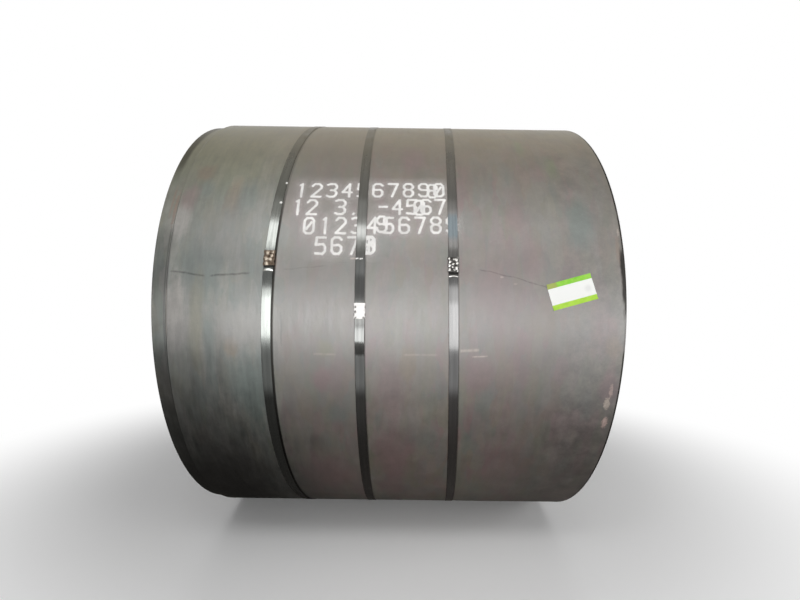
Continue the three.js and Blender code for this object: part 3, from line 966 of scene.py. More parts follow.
# A stain: its share, X, Arc, half its width, half its height and how soft its edge is.
STAINS = [
    (MOSS, [(0.9, -0.64, 0.82, 0.24, 0.30, 0.7)]),
    (BROWN, [(0.6, 0.05, 0.95, 0.75, 0.30, 0.8), (0.8, -0.665, 0.63, 0.030, 0.04, 0.5),
             (0.6, -0.544, 0.52, 0.024, 0.08, 0.5)]),
    (TEAL, [(0.7, -0.638, 0.54, 0.024, 0.04, 0.6), (0.7, -0.490, 0.51, 0.030, 0.06, 0.6),
            (0.8, -0.610, 0.24, 0.075, 0.09, 0.6), (0.7, -0.474, -0.13, 0.070, 0.08, 0.6),
            (0.9, 0.640, 0.42, 0.044, 0.09, 0.6)]),
    (MOSS, [(1.0, 0.488, 0.8375, 0.018, 0.06, 0.6), (1.0, 0.585, 0.68, 0.018, 0.06, 0.6)]),
    (BROWN, [(0.8, 0.352, 0.872, 0.045, 0.05, 0.6)]),
    (TEAL, [(0.6, -0.174, -0.25, 0.030, 0.04, 0.6), (0.5, 0.132, -0.35, 0.046, 0.06, 0.6)]),
    (OLIVE, [(0.65, -0.624, 0.07, 0.024, 0.15, 0.5)]),
    (TEAL, [(0.75, -0.585, -0.02, 0.020, 0.13, 0.5)]),
    (BROWN, [(0.7, -0.513, -0.015, 0.022, 0.035, 0.35)]),
    (MAUVE, [(0.9, -0.218, -0.115, 0.032, 0.040, 0.5)]),
    (OLIVE, [(0.8, -0.205, -0.015, 0.026, 0.028, 0.5)]),
    (TEAL, [(0.9, -0.450, -0.170, 0.050, 0.150, 0.5)]),
    (DARK, [(0.35, -0.251, -0.380, 0.032, 0.035, 0.6), (0.45, -0.3487, 0.050, 0.0035, 0.055, 0.4)]),
    (OLIVE, [(0.5, 0.500, 0.07, 0.042, 0.05, 0.5)]),
    (MAUVE, [(0.7, -0.690, 0.50, 0.027, 0.06, 0.5), (0.8, 0.310, -0.10, 0.051, 0.06, 0.5),
             (0.7, 0.450, -0.09, 0.023, 0.05, 0.5), (0.9, 0.740, -0.14, 0.028, 0.05, 0.5),
             (0.7, 0.711, 0.06, 0.034, 0.06, 0.5), (0.7, 0.468, 0.30, 0.035, 0.08, 0.5),
             (0.6, 0.346, 0.17, 0.068, 0.08, 0.6), (0.7, 0.427, 0.45, 0.034, 0.06, 0.6),
             (0.7, 0.080, 0.73, 0.043, 0.08, 0.6), (0.5, 0.429, -0.50, 0.081, 0.15, 0.6),
             (0.25, 0.42, 0.13, 0.22, 0.13, 0.8), (0.6, 0.02, -0.66, 0.06, 0.10, 0.7)]),
    (SCUFFED_PINK, [(0.07, 0.06, -0.22, 0.11, 0.17, 0.8)]),
    (BROWN, [(0.6, 0.735, 0.01, 0.022, 0.035, 0.6)]),
    (MAUVE, [(0.8, 0.028, -0.45, 0.060, 0.13, 0.6), (0.7, -0.216, -0.57, 0.086, 0.13, 0.6),
             (0.7, 0.010, -0.15, 0.045, 0.10, 0.6)]),
    (BROWN, [(0.8, 0.066, -0.06, 0.026, 0.06, 0.4)]),
    # The pale patch at X -0.700, Arc 0.41 is a painted sheen, and the two faint, wide ones near the
    # middle are painted light.
    (PALE, [(0.8, -0.475, 0.06, 0.065, 0.06, 0.6), (1.0, -0.688, 0.09, 0.036, 0.12, 0.45),
            (1.0, -0.700, 0.41, 0.030, 0.055, 0.5), (0.12, 0.04, -0.17, 0.09, 0.18, 0.8),
            (0.12, 0.03, 0.22, 0.08, 0.09, 0.8)]),
    # Painted shade: faint dark patches, the broadest low at the left and low at the right end, and
    # smaller ones that dim the steel in places.
    (DARK, [(0.95, -0.62, -0.66, 0.30, 0.42, 0.8), (0.35, -0.560, 0.390, 0.070, 0.12, 0.7),
            (0.10, -0.64, 0.79, 0.13, 0.12, 0.8), (0.36, -0.69, -0.15, 0.13, 0.19, 0.7),
            (0.22, -0.70, 0.58, 0.09, 0.11, 0.7), (0.16, 0.48, 0.08, 0.20, 0.16, 0.8),
            (0.12, 0.53, -0.21, 0.13, 0.15, 0.8), (0.10, 0.29, 0.385, 0.06, 0.05, 0.8),
            (0.50, 0.74, -0.58, 0.24, 0.45, 0.8), (0.25, -0.634, 0.27, 0.031, 0.09, 0.5)]),
    (OLD_RUST, [(0.9, -0.737, 0.47, 0.005, 0.07, 0.5), (0.7, -0.752, 0.50, 0.004, 0.06, 0.5),
                (0.8, -0.3735, 0.27, 0.006, 0.026, 0.4), (0.6, 0.757, 0.325, 0.007, 0.045, 0.5)]),
    (SCUFF_AND_GLINT, [(0.08, -0.690, 0.12, 0.020, 0.06, 0.7), (0.5, 0.3692, 0.2279, 0.0048, 0.0034, 0.4),
               (0.35, 0.4146, 0.2053, 0.006, 0.003, 0.4), (0.5, 0.7640, 0.3900, 0.0036, 0.015, 0.4)]),
    (SCUFFED_PINK, [(0.7, 0.7475, -0.1480, 0.006, 0.022, 0.4)]),
    (SCUFF_AND_GLINT, [(0.9, 0.7400, -0.1960, 0.009, 0.021, 0.4)]),
    (SCUFFED_PINK, [(1.0, 0.7470, -0.2720, 0.009, 0.020, 0.4)]),
]
# Painted shade, put in as black: a broad patch low at the left and a thin one along the rim of the
# right end.
BLACK_SHADE_PATCHES = [(0.45, -0.68, -0.72, 0.26, 0.45, 0.8), (0.85, 0.771, 0.235, 0.010, 0.115, 0.5)]
SMALLEST_CLOUD = 0.0095      # a narrower patch has a crumbly edge, not a cloudy one
# Beside each strap, painted shadow: how wide the dark line at its right is, and the shares right and
# left.
STRAP_SHADOWS = {"left": (0.0095, 0.90, 0.10), "middle": (0.0045, 0.45, 0.30),
                 "right": (0.0045, 0.45, 0.20)}
LIP_EDGE = COIL_RIGHT - STRIP_WIDTH
# A mark along the lip: its tint, share, X, half its width, and the Arc it runs from and to.
LIP_MARKS = [
    (BLACK, 0.6, LIP_EDGE - 0.0115, 0.0025, -0.06, 0.40),
    # At the last turn's left edge: a line of painted shadow, then a thin painted highlight where that
    # edge catches the light.
    (BLACK, 0.5, LIP_EDGE + 0.0035, 0.0025, 0.00, 0.40),
    (SCUFF_AND_GLINT, 0.8, LIP_EDGE + 0.0005, 0.0022, 0.01, 0.19),
]
# A break or a scratch: its share, X and Arc at one end and at the other, and its width.
BREAKS = [
    (0.6, -0.715, 0.2330, -0.600, 0.2190, 0.0055), (0.65, -0.583, 0.2190, -0.452, 0.2310, 0.0060),
    (0.2, -0.346, 0.2440, -0.200, 0.2580, 0.0040), (0.45, 0.297, 0.2520, 0.420, 0.2260, 0.0034),
    (0.45, 0.415, 0.2270, 0.520, 0.1930, 0.0034),
]
SCRATCHES = [
    (0.30, 0.050, -0.0321, 0.165, -0.0306, 0.006), (0.30, -0.245, -0.0327, -0.170, -0.0335, 0.006),
    (0.75, 0.236, -0.0165, 0.300, -0.0125, 0.008), (0.85, 0.276, -0.0356, 0.328, -0.0330, 0.0042),
    (0.90, -0.128, 0.2835, -0.110, 0.2845, 0.0045),
]
print(sum(len(stains) for _, stains in STAINS), "stains,", len(BREAKS), "breaks")

# %% [markdown]
# ## How the skin of scale is built up
#
# One tint over another, from large to small. Mottles are the soft, upright clouds of teal,
# mauve, olive and pale grey that cover the whole coil. Stains are single clouds that lie in
# a place of their own; some faint dark ones are painted shade, and a few pale ones painted
# light. Then come the breaks, thin wavering lines where the strip kinked as it was wound, and
# the scratches, where something bright has scraped it. The under turns that show past the
# last turn's left edge are painted darker in some stretches than in others, and darker again
# towards the floor as painted shade. A dark line of painted shadow lies beside each strap, and
# the strip's edges are darkened with painted shade.

# %% Mottles, and what darkens the edges
CLOUD_SHARE, CELL_SHARE = 0.55, 0.65
DARKER_LIP_STRETCH = (0.12, 0.20, 0.34, 0.42)     # over this stretch of Arc the lip is painted darker
LIGHTER_RIM_STRETCH = (-0.03, 0.0, 0.09, 0.12)     # and over this one the rim's painted shade is lighter
LIP_ENDS = -0.6                              # the lip lies to the left of this X


def mottled(tree, colour, left, right, calmer):
    """Mixes each mottle's tint in where its stretched noise or its cells are high, by its
    share everywhere plus its further shares at the left and the right, times calmer."""
    cells = use(tree, scale_cells)
    for (tint, (across, along, start), filled, shares), cell in zip(MOTTLES, (*cells, cells[0])):
        cloud = use(tree, rolling_streaks, across=across, along=along, move=(start, 0.0, 0.0),
                    low=0.42, high=0.60)
        mask = cloud * CLOUD_SHARE + tree.step(cell, *filled) * CELL_SHARE
        share = (left * shares[1] + shares[0] + right * shares[2]) * calmer
        colour = tree.mix(tree.math("MULTIPLY", mask, share, clamp=True), colour, tint)
    return colour


def lip_darkening(tree, x, arc, radius, height):
    """How dark the turns past the last turn's left edge are painted: a little everywhere, as
    painted shade under that edge, more over one stretch, and more again towards the floor, as
    painted shade."""
    under = tree.math("LESS_THAN", radius, RADIUS - PITCH / 2)
    lip = under * tree.math("LESS_THAN", x, LIP_ENDS)
    stretch = tree.between(arc, *DARKER_LIP_STRETCH)
    low = tree.step(height, -0.06, 0.03, 1.0, 0.0)
    return lip * (stretch * 0.30 + low * 0.42 + 0.04)


def beside_straps(tree, spot, height):
    """Dark lines of painted shadow on the coil along the straps: full at the strap's right edge
    and gone a few millimetres further out, and a fainter one at its left edge. They fade over
    the top."""
    edge = STRAP_WIDTH / 2
    lines = []
    for name, strap in STRAPS.items():
        aside = use(tree, beside_strap, middle=strap["x"], front=strap["front"],
                    top=strap["top"], **spot)
        width, share, other = STRAP_SHADOWS[name]
        lines += [tree.math("GREATER_THAN", aside, 0.0)
                  * tree.step(aside, edge + 0.5 * width, edge + width, share, 0.0),
                  tree.math("LESS_THAN", aside, 0.0)
                  * tree.step(aside, -edge - 0.0035, -edge - 0.0005, 0.0, other)]
    return tree.most(*lines) * tree.step(height, 0.38, 0.60, 1.0, 0.25)


def rim_and_ends(tree, x, arc, height, edge, cloudy):
    """Black, as painted shade, along the strip's edges: a rim at the right end, lighter over one
    stretch, the rounded corners all along both edges, faint near the top, and the far left end
    of the under turns near the top."""
    rim = tree.step(x, COIL_RIGHT - 0.0075, COIL_RIGHT - 0.0045)
    lighter = tree.between(arc, *LIGHTER_RIM_STRETCH)
    rim = rim * tree.step(cloudy, 0.40, 0.50, 0.6, 0.9) * (1.0 - lighter * 0.65)
    corner = tree.step(edge, 0.1, 0.4) * tree.step(edge, 0.7, 1.0, 0.8, 0.0)
    end = tree.step(x, -0.768, -0.752, 0.6, 0.0) * tree.step(height, 0.50, 0.66)
    return rim, corner * tree.step(height, 0.43, 0.56, 1.0, 0.1), end

# %% Light and dark, lines and marks
def light_and_dark(tree, colour, x, height, left, far, streaks, cloudy):
    """The colour times a value near 1, made of streaks, hair lines and clouds that are
    stronger at the left and low at the far right. Small dark specks go on top."""
    hair = use(tree, rolling_streaks, across=300.0, along=30.0, low=0.3, high=0.8)
    busier = left * 0.7 + tree.step(x, -0.10, 0.0, 0.7, 1.1)
    busier = far * tree.step(height, 0.10, 0.40, 2.1, 0.7) + busier
    value = streaks * (left * 0.30 + 0.07) + 0.965
    value = (cloudy - 0.5) * busier + ((hair - 0.5) * 0.05 + value)
    colour = tree.mix(1.0, colour, value, "MULTIPLY")
    specks = tree.step(tree.noise(tree.place(), 150.0, 2.0, 0.6), 0.70, 0.76)
    return tree.mix(specks * 0.35, colour, DARK)


def line(tree, spot, from_x, from_arc, to_x, to_arc, width, **more):
    """A wavering line from one X and Arc to another."""
    return use(tree, wavering_line, from_x=from_x, from_arc=from_arc, to_x=to_x,
               to_arc=to_arc, width=width, **spot, **more)


def scratched(tree, colour, spot):
    """A scratch is a bright line. The marks along the lip are a streak, a line of painted shadow
    and a thin painted highlight; each fades with the distance from its X and at both ends of
    its run."""
    for share, *ends in SCRATCHES:
        mask = line(tree, spot, *ends, wave=0.003, least=0.35)
        colour = tree.mix(mask * share, colour, SCUFF_AND_GLINT)
    for tint, share, at_x, half, start, end in LIP_MARKS:
        near = tree.step(abs(spot["x"] - at_x), half * 0.4, half * 1.4, share, 0.0)
        run = tree.between(spot["arc"], start, start + 0.03, end - 0.03, end)
        colour = tree.mix(near * run, colour, tint)
    return colour

# %% The coil's material
LEFT_FIELD = (-0.44, -0.30)  # over this stretch of X the teal of the left gives way
RIGHT_FIELD = (0.10, 0.45)
FAR_FIELD = (0.50, 0.64)
SCALE_IOR = 2.1              # iron oxide bends light more than glass, so it mirrors more
EVEN_ROUGHNESS = 0.39
# Heights in metres, as the bumps take them.
GRAIN, STREAK_RELIEF, BREAK_DEPTH, WAVES = 0.00012, 0.00004, 0.0003, 0.0015


def coil_material():
    """Tints first, then how light each place is, then lines and marks, and last the black of
    dirt and shadow, which takes the gloss away as well: it is put in as a black metal."""
    made, tree = new_material("mill_scale")
    x, arc, radius, height = use(tree, place_on_coil)
    spot = {"x": x, "arc": arc}
    left = tree.step(x, *LEFT_FIELD, 1.0, 0.0)
    far = tree.step(x, *FAR_FIELD)
    upright = tree.stretch(tree.place(), 34.0, 11.0, 11.0)
    rough = tree.noise(upright, 1.0, 4.0, 0.7) - 0.5
    crumbly = tree.noise(tree.place(), 140.0, 3.0, 0.7) - 0.5

    def patch(at_x, at_arc, half_width, half_height, soft):
        """A ragged patch at an X and an Arc: the smaller it is, the more ragged."""
        return use(tree, ragged_patch, at_x=at_x, at_arc=at_arc, half_width=half_width,
                   half_height=half_height, soft=soft, ragged=min(2.0, 0.12 / half_width),
                   rough=crumbly if half_width < SMALLEST_CLOUD else rough, **spot)

    colour = tree.mix(left * 0.70, GREY, TEAL)
    calmer = far * -0.42 + tree.step(x, -0.12, -0.06, 0.65, 1.0)
    colour = mottled(tree, colour, left, tree.step(x, *RIGHT_FIELD), calmer)
    # Stains: some faint dark ones are painted shade, and a few pale ones painted light.
    for tint, stains in STAINS:
        for share, *where in stains:
            colour = tree.mix(patch(*where) * share, colour, tint)
    colour = tree.mix(use(tree, settled_dust) * (left * -0.42 + 0.6), colour, DUST)
    # Black patches of painted shade.
    black = [patch(*where) * share for share, *where in BLACK_SHADE_PATCHES]

    streaks = use(tree, rolling_streaks, across=70.0, along=9.0, low=0.25, high=0.75)
    cloudy = tree.noise(tree.place(), 13.0, 8.0, 0.80)
    colour = light_and_dark(tree, colour, x, height, left, far, streaks, cloudy)

    relief = streaks * STREAK_RELIEF
    for share, *ends in BREAKS:
        mask = line(tree, spot, *ends) * share
        black.append(mask * 0.75)
        relief = mask * -BREAK_DEPTH + relief
    colour = scratched(tree, colour, spot)

    edge = tree.attribute("edge")
    rusty = tree.step(tree.noise(tree.place(), 14.0, 6.0, 0.65), 0.45, 0.65)
    colour = tree.mix(edge, colour, tree.mix(rusty * 0.5, BARE_EDGE, OLD_RUST))
    # Painted shade, put in as black: the strip's rims, corners and ends, the lip, and a line beside
    # each strap.
    rim, corner, end = rim_and_ends(tree, x, arc, height, edge, cloudy)
    black += [lip_darkening(tree, x, arc, radius, height), beside_straps(tree, spot, height), rim, end]
    black = tree.most(tree.most(*black) * tree.step(edge, 0.6, 1.0, 1.0, 0.0), corner)

    waves = use(tree, rolling_streaks, across=6.0, along=2.5, move=(2.0, 0.0, 0.0), low=0.2, high=0.8)
    normal = tree.bump(tree.noise(tree.place(), 900.0), GRAIN, 0.5)
    normal = tree.bump(waves, WAVES, 0.6, tree.bump(relief, 1.0, 1.0, normal))
    tree.principled({"Base Color": tree.mix(black, colour, BLACK), "Metallic": black,
                     "Roughness": (cloudy - 0.5) * 0.16 + (streaks * 0.06 + EVEN_ROUGHNESS),
                     "IOR": SCALE_IOR, "Normal": normal})
    return made


add_piece(coil, coil_material(), "mill_scale_steel", "coil")

# %% [markdown]
# ## Strapping, seals, paint and paper
#
# Strapping is rolled bright, blued and waxed, so it is dark but mirrors any lamp along its
# length. Handling rubs it in long scuffs, and painted shade darkens its edges and the
# stretches below its seals. The seals are the same kind of sheet: one of them has rusted, one
# is fresh and bright, and one is dark. On each, the lumps of the dents are painted bright, as
# rubbed steel and painted highlight, and the hollows dark, as painted shade.

# %% Steel of the straps
STRAP_BLUE = (0.148, 0.151, 0.153)
STRAP_RUBBED = (0.205, 0.204, 0.198)
BARE_STEEL = (0.42, 0.41, 0.40)
PAINT_WHITE = (0.80, 0.79, 0.765)
STRAP_DUST = (0.092, 0.076, 0.042)
STRAP_FILM = (0.110, 0.112, 0.098)
BLUED = (0.122, 0.152, 0.172)
GREENISH = (0.97, 1.0, 0.945)
ROSY = (1.02, 0.995, 0.98)
# A dot of paint: X, the angle and how far it reaches.
PAINT_DOTS = [(-0.366, 35.55, 0.0065), (-0.375, 30.1, 0.0065), (-0.1080, 17.43, 0.0040),
              (-0.1035, 17.48, 0.0036), (-0.0950, 17.40, 0.0042), (-0.0895, 17.44, 0.0038)]
# A painted patch on a strap: its tint and share, X, Arc and half its height. The dark ones
# are painted shade below the seals and free ends, and painted dark reflection where the steel
# mirrors little light; the blued one is a painted bluish reflection.
STRAP_SHADE_AND_SHEEN = [(DARK, 0.90, -0.395, 0.2575, 0.009), (DARK, 0.35, -0.390, 0.198, 0.044),
         (DARK, 0.30, -0.392, -0.110, 0.090), (DARK, 0.95, 0.218, 0.243, 0.010),
         (DARK, 0.35, 0.215, 0.190, 0.050), (DARK, 0.50, -0.100, 0.172, 0.056),
         (DARK, 0.45, -0.098, 0.080, 0.024), (DARK, 0.85, -0.098, -0.013, 0.022),
         (DARK, 0.20, -0.098, -0.110, 0.080), (BLUED, 0.90, 0.213, 0.405, 0.045)]
STRAP_PATCH_WIDTH = 0.08


def paint_dots(tree):
    """Each dot fades with the straight distance from its middle."""
    dots = []
    for x, degrees, reach in PAINT_DOTS:
        middle = around(x, degrees, RADIUS + STRAP_THICKNESS)
        gap = tree.vector("DISTANCE", tree.place(), middle, output="Value")
        dots.append(tree.step(gap, reach * 0.4, reach, 1.0, 0.0))
    return tree.most(*dots)


def strap_material():
    """Blued steel with rubbed lines and a dark rim of painted shade, then patches of painted
    shade and painted reflection, then what lies on it: dust on the top, a dull film low down,
    bare metal at the kinks and dots of paint."""
    made, tree = new_material("blued_strapping")
    across = tree.attribute("across")
    flat = tree.join(across, tree.attribute("along"))
    x, arc, _, height = use(tree, place_on_coil)
    scuffs = tree.noise(tree.stretch(flat, 900.0, 6.0, 1.0), 1.0, 4.0, 0.6)
    worn = tree.step(tree.noise(tree.stretch(flat, 60.0, 9.0, 1.0), 1.0, 4.0), 0.5, 0.8)
    colour = tree.mix(tree.step(scuffs, 0.35, 0.75) * 0.25, STRAP_BLUE, STRAP_RUBBED)
    # Painted shade: a dark rim along both edges of the strap.
    colour = tree.mix(tree.step(abs(across), 0.0138, 0.016) * 0.6, colour, DARK)
    shaken = tree.noise(tree.stretch(flat, 240.0, 40.0, 1.0), 1.0, 3.0, 0.6) - 0.5
    # Patches of painted shade and painted reflection.
    for tint, share, at_x, at_arc, half_height in STRAP_SHADE_AND_SHEEN:
        mask = use(tree, ragged_patch, x=x, arc=arc, at_x=at_x, at_arc=at_arc, soft=0.3,
                   half_width=STRAP_PATCH_WIDTH, half_height=half_height, rough=shaken, ragged=0.6)
        colour = tree.mix(mask * share, colour, tint)
    drawn = tree.noise(tree.stretch(flat, 130.0, 3.0, 1.0), 1.0, 3.0, 0.6)
    colour = tree.mix(1.0, colour, tree.step(drawn, 0.30, 0.70, 0.86, 1.10), "MULTIPLY")
    colour = tree.mix(1.0, colour, tree.mix(tree.step(x, -0.40, 0.20), GREENISH, ROSY), "MULTIPLY")
    dust = use(tree, settled_dust, low=0.50, high=0.85)
    film = tree.step(height, -0.10, -0.28, 0.0, 1.0) * tree.step(x, -0.40, -0.10, 0.09, 0.02)
    paint = paint_dots(tree)
    for share, tint in ((dust * 0.92, STRAP_DUST), (film, STRAP_FILM),
                        (tree.attribute("kink"), BARE_STEEL), (paint, PAINT_WHITE)):
        colour = tree.mix(share, colour, tint)
    dull = tree.most(paint, dust * 0.95, film)
    tree.principled({"Base Color": colour,
                     "Metallic": tree.math("SUBTRACT", 1.0, dull, clamp=True),
                     "Roughness": dust * 0.24 + (worn * 0.09 + 0.14),
                     "Normal": tree.bump(scuffs, 0.00003, 0.5)})
    return made


strapping = strap_material()
for name, ribbon in ribbons.items():
    add_piece(ribbon, strapping, "strap_steel", f"{name}_strap")

# %% Steel of the seals
SEAL_FINISHES = {
    "left": {"steel": (0.095, 0.074, 0.056), "rubbed_and_glint": (0.46, 0.41, 0.34),
             "pit_shade": (0.016, 0.011, 0.008), "rough": 0.45, "rust": 0.35, "grit": 0.0034},
    "middle": {"steel": (0.46, 0.45, 0.44), "rubbed_and_glint": (0.62, 0.61, 0.60),
               "pit_shade": (0.11, 0.105, 0.10), "rough": 0.48, "rust": 0.0, "grit": 0.0018},
    "right": {"steel": (0.060, 0.058, 0.055), "rubbed_and_glint": (0.58, 0.57, 0.55),
              "pit_shade": (0.010, 0.010, 0.009), "rough": 0.38, "rust": 0.05, "grit": 0.0042},
}


def seal_material(name, steel, rubbed_and_glint, pit_shade, rough, rust, grit):
    """Bright on the high lumps of the dents, as rubbed steel and painted highlight, and dark in
    their hollows, as painted shade, with grit that shakes the line between them, and rust in
    speckles."""
    made, tree = new_material(f"{name}_seal_steel")
    fine = tree.noise(tree.place(), 260.0, 4.0, 0.6)
    dent = (fine - 0.5) * grit + tree.attribute("dent")
    # The high lumps are painted bright, as rubbed steel and painted highlight, and the hollows dark,
    # as painted shade.
    colour = tree.mix(tree.step(dent, 0.0002, 0.0011), steel, rubbed_and_glint)
    colour = tree.mix(tree.step(dent, -0.0002, -0.0010, 0.0, 0.85), colour, pit_shade)
    speckle = tree.step(fine, 0.45, 0.65)
    tree.principled({"Base Color": tree.mix(speckle * (0.8 * rust), colour, RUST),
                     "Metallic": speckle * (-0.7 * rust) + 1.0,
                     "Roughness": fine * 0.2 + (rough - 0.1),
                     "Normal": tree.bump(fine, 0.0003, 0.5)})
    return made


for name, seal in seals.items():
    add_piece(seal, seal_material(name, **SEAL_FINISHES[name]), "seal_steel", f"{name}_seal")

# %% Sprayed paint
PAINT_THIN = (0.74, 0.69, 0.67)
PAINT_FULL = (0.88, 0.87, 0.85)
MOST_COVER = 0.95


def paint_material():
    """Opaque in the strokes and a thin veil in the haze, both broken up by fine noise."""
    made, tree = new_material("sprayed_paint")
    paint, stroke = tree.attribute("paint"), tree.attribute("stroke")
    spatter = tree.noise(tree.place(), 170.0, 3.0, 0.65)
    pressed = tree.step(tree.noise(tree.place(), 26.0, 2.0), 0.3, 0.7, 0.75, 1.0)
    cover = tree.step(stroke + spatter * 0.8, 0.40, 1.20) * pressed
    veil = paint * tree.step(spatter, 0.2, 0.8, 0.6, 1.4) * (1.0 - stroke)
    tree.principled({"Base Color": tree.mix(stroke, PAINT_THIN, PAINT_FULL),
                     "Alpha": tree.math("MINIMUM", tree.most(cover, veil), MOST_COVER),
                     "Roughness": spatter * 0.2 + 0.5})
    return made


add_piece(marking, paint_material(), "mill_scale_steel")

# %% Printed paper
PAPER_WHITE = (0.86, 0.87, 0.85)
BAND_GREENS = ((0.20, 0.58, 0.020), (0.30, 0.62, 0.06))
BAND_LIMES = ((0.34, 0.62, 0.030), (0.41, 0.68, 0.05))
BAND_FADED = (0.36, 0.33, 0.10)
SMUDGE = (0.42, 0.42, 0.44)
SMUDGE_AT = (0.72, -0.05)
BAND_WIDTH = 2 * 0.0165 / LABEL_SIZE[1]      # 16.5 mm, where the label is 2 high


def label_material():
    """White paper with a green band along its top and its bottom: the place up the label
    runs from -1 to 1, and a band is what lies within its width of either end."""
    made, tree = new_material("label_paper")
    along, up = tree.attribute("along"), tree.attribute("up")
    blotchy = tree.step(tree.noise(tree.place(), 55.0, 4.0, 0.6), 0.35, 0.65)
    top = tree.step(up, 0.985 - BAND_WIDTH, 1.0 - BAND_WIDTH)
    bottom = tree.step(up, BAND_WIDTH - 1.0, BAND_WIDTH - 0.985, 1.0, 0.0)
    colour = tree.mix(top, PAPER_WHITE, tree.mix(blotchy, *BAND_GREENS))
    colour = tree.mix(bottom, colour, tree.mix(blotchy, *BAND_LIMES))
    faded = top * tree.step(along, -0.62, -0.50, 1.0, 0.0)
    colour = tree.mix(faded * 0.75, colour, BAND_FADED)
    reach = tree.length(along - SMUDGE_AT[0], (up - SMUDGE_AT[1]) * 0.6)
    fibres = tree.noise(tree.place(), 1500.0)
    tree.principled({"Base Color": tree.mix(tree.step(reach, 0.04, 0.24, 0.22, 0.0), colour, SMUDGE),
                     "Roughness": fibres * 0.15 + 0.5,
                     "Normal": tree.bump(fibres, 0.00003, 0.4)})
    return made


add_piece(label, label_material(), "label_paper", "label")

# %% [markdown]
# ## Floor, world and lamps
#
# The coil stands on a pale floor that keeps its shadow and fades into a white background.
# Camera, glossy and transmission rays see that background; diffuse rays see a dim grey one,
# so the white doesn't wash out the steel. The light is that of a hall: a wide, low window
# in front, which draws the bright band along the middle of the coil, and skylights above,
# the strongest of them at the left, which give every seal its small shadow. Steel shows what
# it mirrors as much as its own colour, so a dark screen stands to the left, hidden from the
# camera, and keeps that side of the coil dark.

# %% World
WORLD_GREY = (0.15, 0.15, 0.15)
BACKDROP_WHITE = (1.0, 1.0, 1.0)
CEILING = (0.42, 0.39, 0.33)


def seen_directly(tree):
    """One for camera, glossy and transmission rays, and nought for the rest."""
    rays = tree.node("LightPath").outputs
    kinds = ("Is Camera Ray", "Is Glossy Ray", "Is Transmission Ray")
    return tree.most(*(Wire(tree, rays[kind]) for kind in kinds))


bpy.context.scene.view_settings.view_transform = "Standard"
world = bpy.data.worlds.new("studio")
world.use_nodes = True
world.node_tree.nodes.clear()
bpy.context.scene.world = world
sky = Tree(world.node_tree)
upward = sky.split(sky.out("TexCoord", "Generated"))[2]
shown = sky.mix(sky.step(upward, 0.54, 0.70), BACKDROP_WHITE, CEILING)
colour = sky.mix(seen_directly(sky), WORLD_GREY, shown)
backdrop = sky.out("Background", 0, {"Color": colour, "Strength": 1.0})
sky.node("OutputWorld", {"Surface": backdrop})
print("world: white with a warm ceiling, and dim grey to diffuse rays")

# %% Floor
FLOOR_REACH = 60.0
FLOOR_PALE = (0.93, 0.93, 0.93)
FLOOR_BOUNCE = (0.06, 0.055, 0.05)
FLOOR_BRIGHTER = (0.26, 0.235, 0.22)     # where it is lightest, a little right of the middle
SHADOW_NEAR, SHADOW_FAR = 0.95, 2.1
MIRROR_NEAR, MIRROR_FAR = 1.75, 2.25

corners = FLOOR_REACH * np.array([[-1, -1, 0], [1, -1, 0], [1, 1, 0], [-1, 1, 0]], float)
floor = build_mesh("floor", corners, [np.array([[0, 1, 2, 3]])])
floor_made, ground = new_material("studio_floor")
in_view = ground.out("LightPath", "Is Camera Ray")
floor_x, floor_y, _ = ground.split(ground.place())
brighter = ground.step(floor_x, -0.9, 0.6) * ground.step(floor_x, 0.5, 1.5, 1.0, 0.4)
bounce = ground.mix(brighter, FLOOR_BOUNCE, FLOOR_BRIGHTER)
# To the left in front, towards the dark screen, the steel mirrors no white floor.
unshaded = ground.step(floor_x / floor_y, 0.37, 0.50, 1.0, 0.0)
reach = ground.length(floor_x * 0.75, floor_y)
viewed = ground.step(reach, SHADOW_NEAR, SHADOW_FAR) * in_view
shine = ground.most(ground.step(reach, MIRROR_NEAR, MIRROR_FAR),
                    ground.step(reach, 1.0, MIRROR_NEAR, 0.0, 0.10))
mirrored = shine * (seen_directly(ground) - in_view) * unshaded
pale = ground.out("BsdfDiffuse", 0, {"Color": ground.mix(in_view, bounce, FLOOR_PALE)})
white = ground.out("Emission", 0, {"Color": BACKDROP_WHITE, "Strength": 1.0})
ground.node("OutputMaterial",
            {"Surface": ground.out("MixShader", 0, {0: viewed + mirrored, 1: pale, 2: white})})
floor.data.materials.append(floor_made)
print(f"floor: {2 * FLOOR_REACH:.0f} m square, shaded within {SHADOW_FAR} m of the coil")

# %% A dark screen at the left
SCREEN_FEET = np.array([[-2.35, -4.8, 0.0], [-4.5, -1.0, 0.0]])
SCREEN_HEIGHT = 3.3
SCREEN_BLACK = (0.05, 0.05, 0.05)

heads = SCREEN_FEET[::-1] + (0, 0, SCREEN_HEIGHT)
screen = build_mesh("dark_screen", np.concatenate([SCREEN_FEET, heads]), [np.array([[0, 1, 2, 3]])])
screen.visible_camera = False
screen_made, screen_tree = new_material("black_cloth")
screen_tree.principled({"Base Color": SCREEN_BLACK, "Roughness": 0.9})
screen.data.materials.append(screen_made)
print(f"screen: {SCREEN_HEIGHT} m high")

# %% Lamps
COIL_MIDDLE = Vector((0, 0, AXIS_HEIGHT))
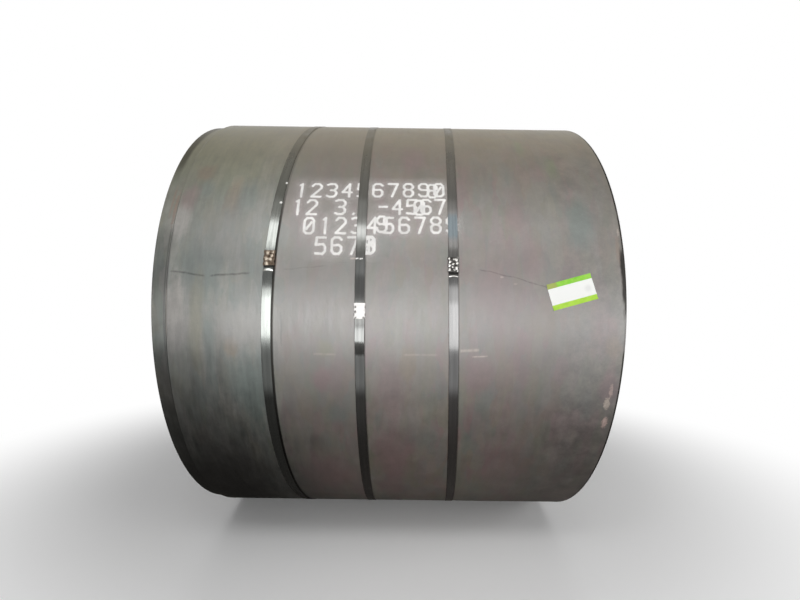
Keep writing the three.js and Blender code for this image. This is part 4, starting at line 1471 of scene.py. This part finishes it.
# A lamp: where it hangs, its width and height, and its radiance.
LAMPS = {
    "left_skylight": ((-1.45, -3.10, 3.95), (0.55, 1.10), 5.0),
    "second_skylight": ((-0.95, -3.01, 4.04), (0.30, 0.90), 5.5),
    "middle_skylight": ((-0.45, -3.01, 4.04), (0.60, 0.50), 4.0),
    "fourth_skylight": ((0.12, -3.01, 4.04), (0.36, 0.90), 5.0),
    "right_skylight": ((0.70, -2.85, 4.20), (0.60, 1.40), 0.75),
    "far_skylight": ((1.60, -3.01, 4.04), (1.00, 0.90), 2.4),
    "roof_glow": ((0.00, -2.75, 4.28), (4.40, 2.10), 0.75),
    "left_window": ((-1.60, -4.60, 1.45), (0.70, 1.90), 6.3),
    "left_sill": ((-1.60, -4.60, 0.37), (0.70, 0.26), 1.2),
    "middle_window": ((-0.30, -4.60, 1.12), (1.60, 1.55), 4.1),
    "right_window": ((0.85, -4.60, 1.36), (0.90, 2.50), 2.95),
    "far_window": ((2.50, -4.60, 1.20), (1.20, 1.00), 6.0),
    "ceiling_panel": ((0.00, -0.80, 5.20), (5.00, 2.20), 0.3),
    "back_panel": ((0.00, 1.80, 5.00), (5.00, 2.20), 0.4),
    "right_wall": ((4.50, -2.00, 2.00), (3.00, 2.00), 3.0),
    "behind": ((0.00, 4.60, 3.00), (5.00, 2.00), 1.6),
}


def add_lamp(name, at, size, radiance):
    """A rectangular area lamp aimed at the middle of the coil. Its power is the radiance
    times pi times its area."""
    data = bpy.data.lights.new(name, "AREA")
    data.shape = "RECTANGLE"
    data.size, data.size_y = size
    data.energy = radiance * np.pi * size[0] * size[1]
    lamp = bpy.data.objects.new(name, data)
    bpy.context.scene.collection.objects.link(lamp)
    lamp.visible_camera = False
    lamp.location = at
    lamp.rotation_euler = (COIL_MIDDLE - lamp.location).to_track_quat("-Z", "Y").to_euler()
    print(f"lamp {name}: {data.energy:.0f} W")


for name, lamp in LAMPS.items():
    add_lamp(name, *lamp)

# %% [markdown]
# ## The end

# %% Finish
print("finished")
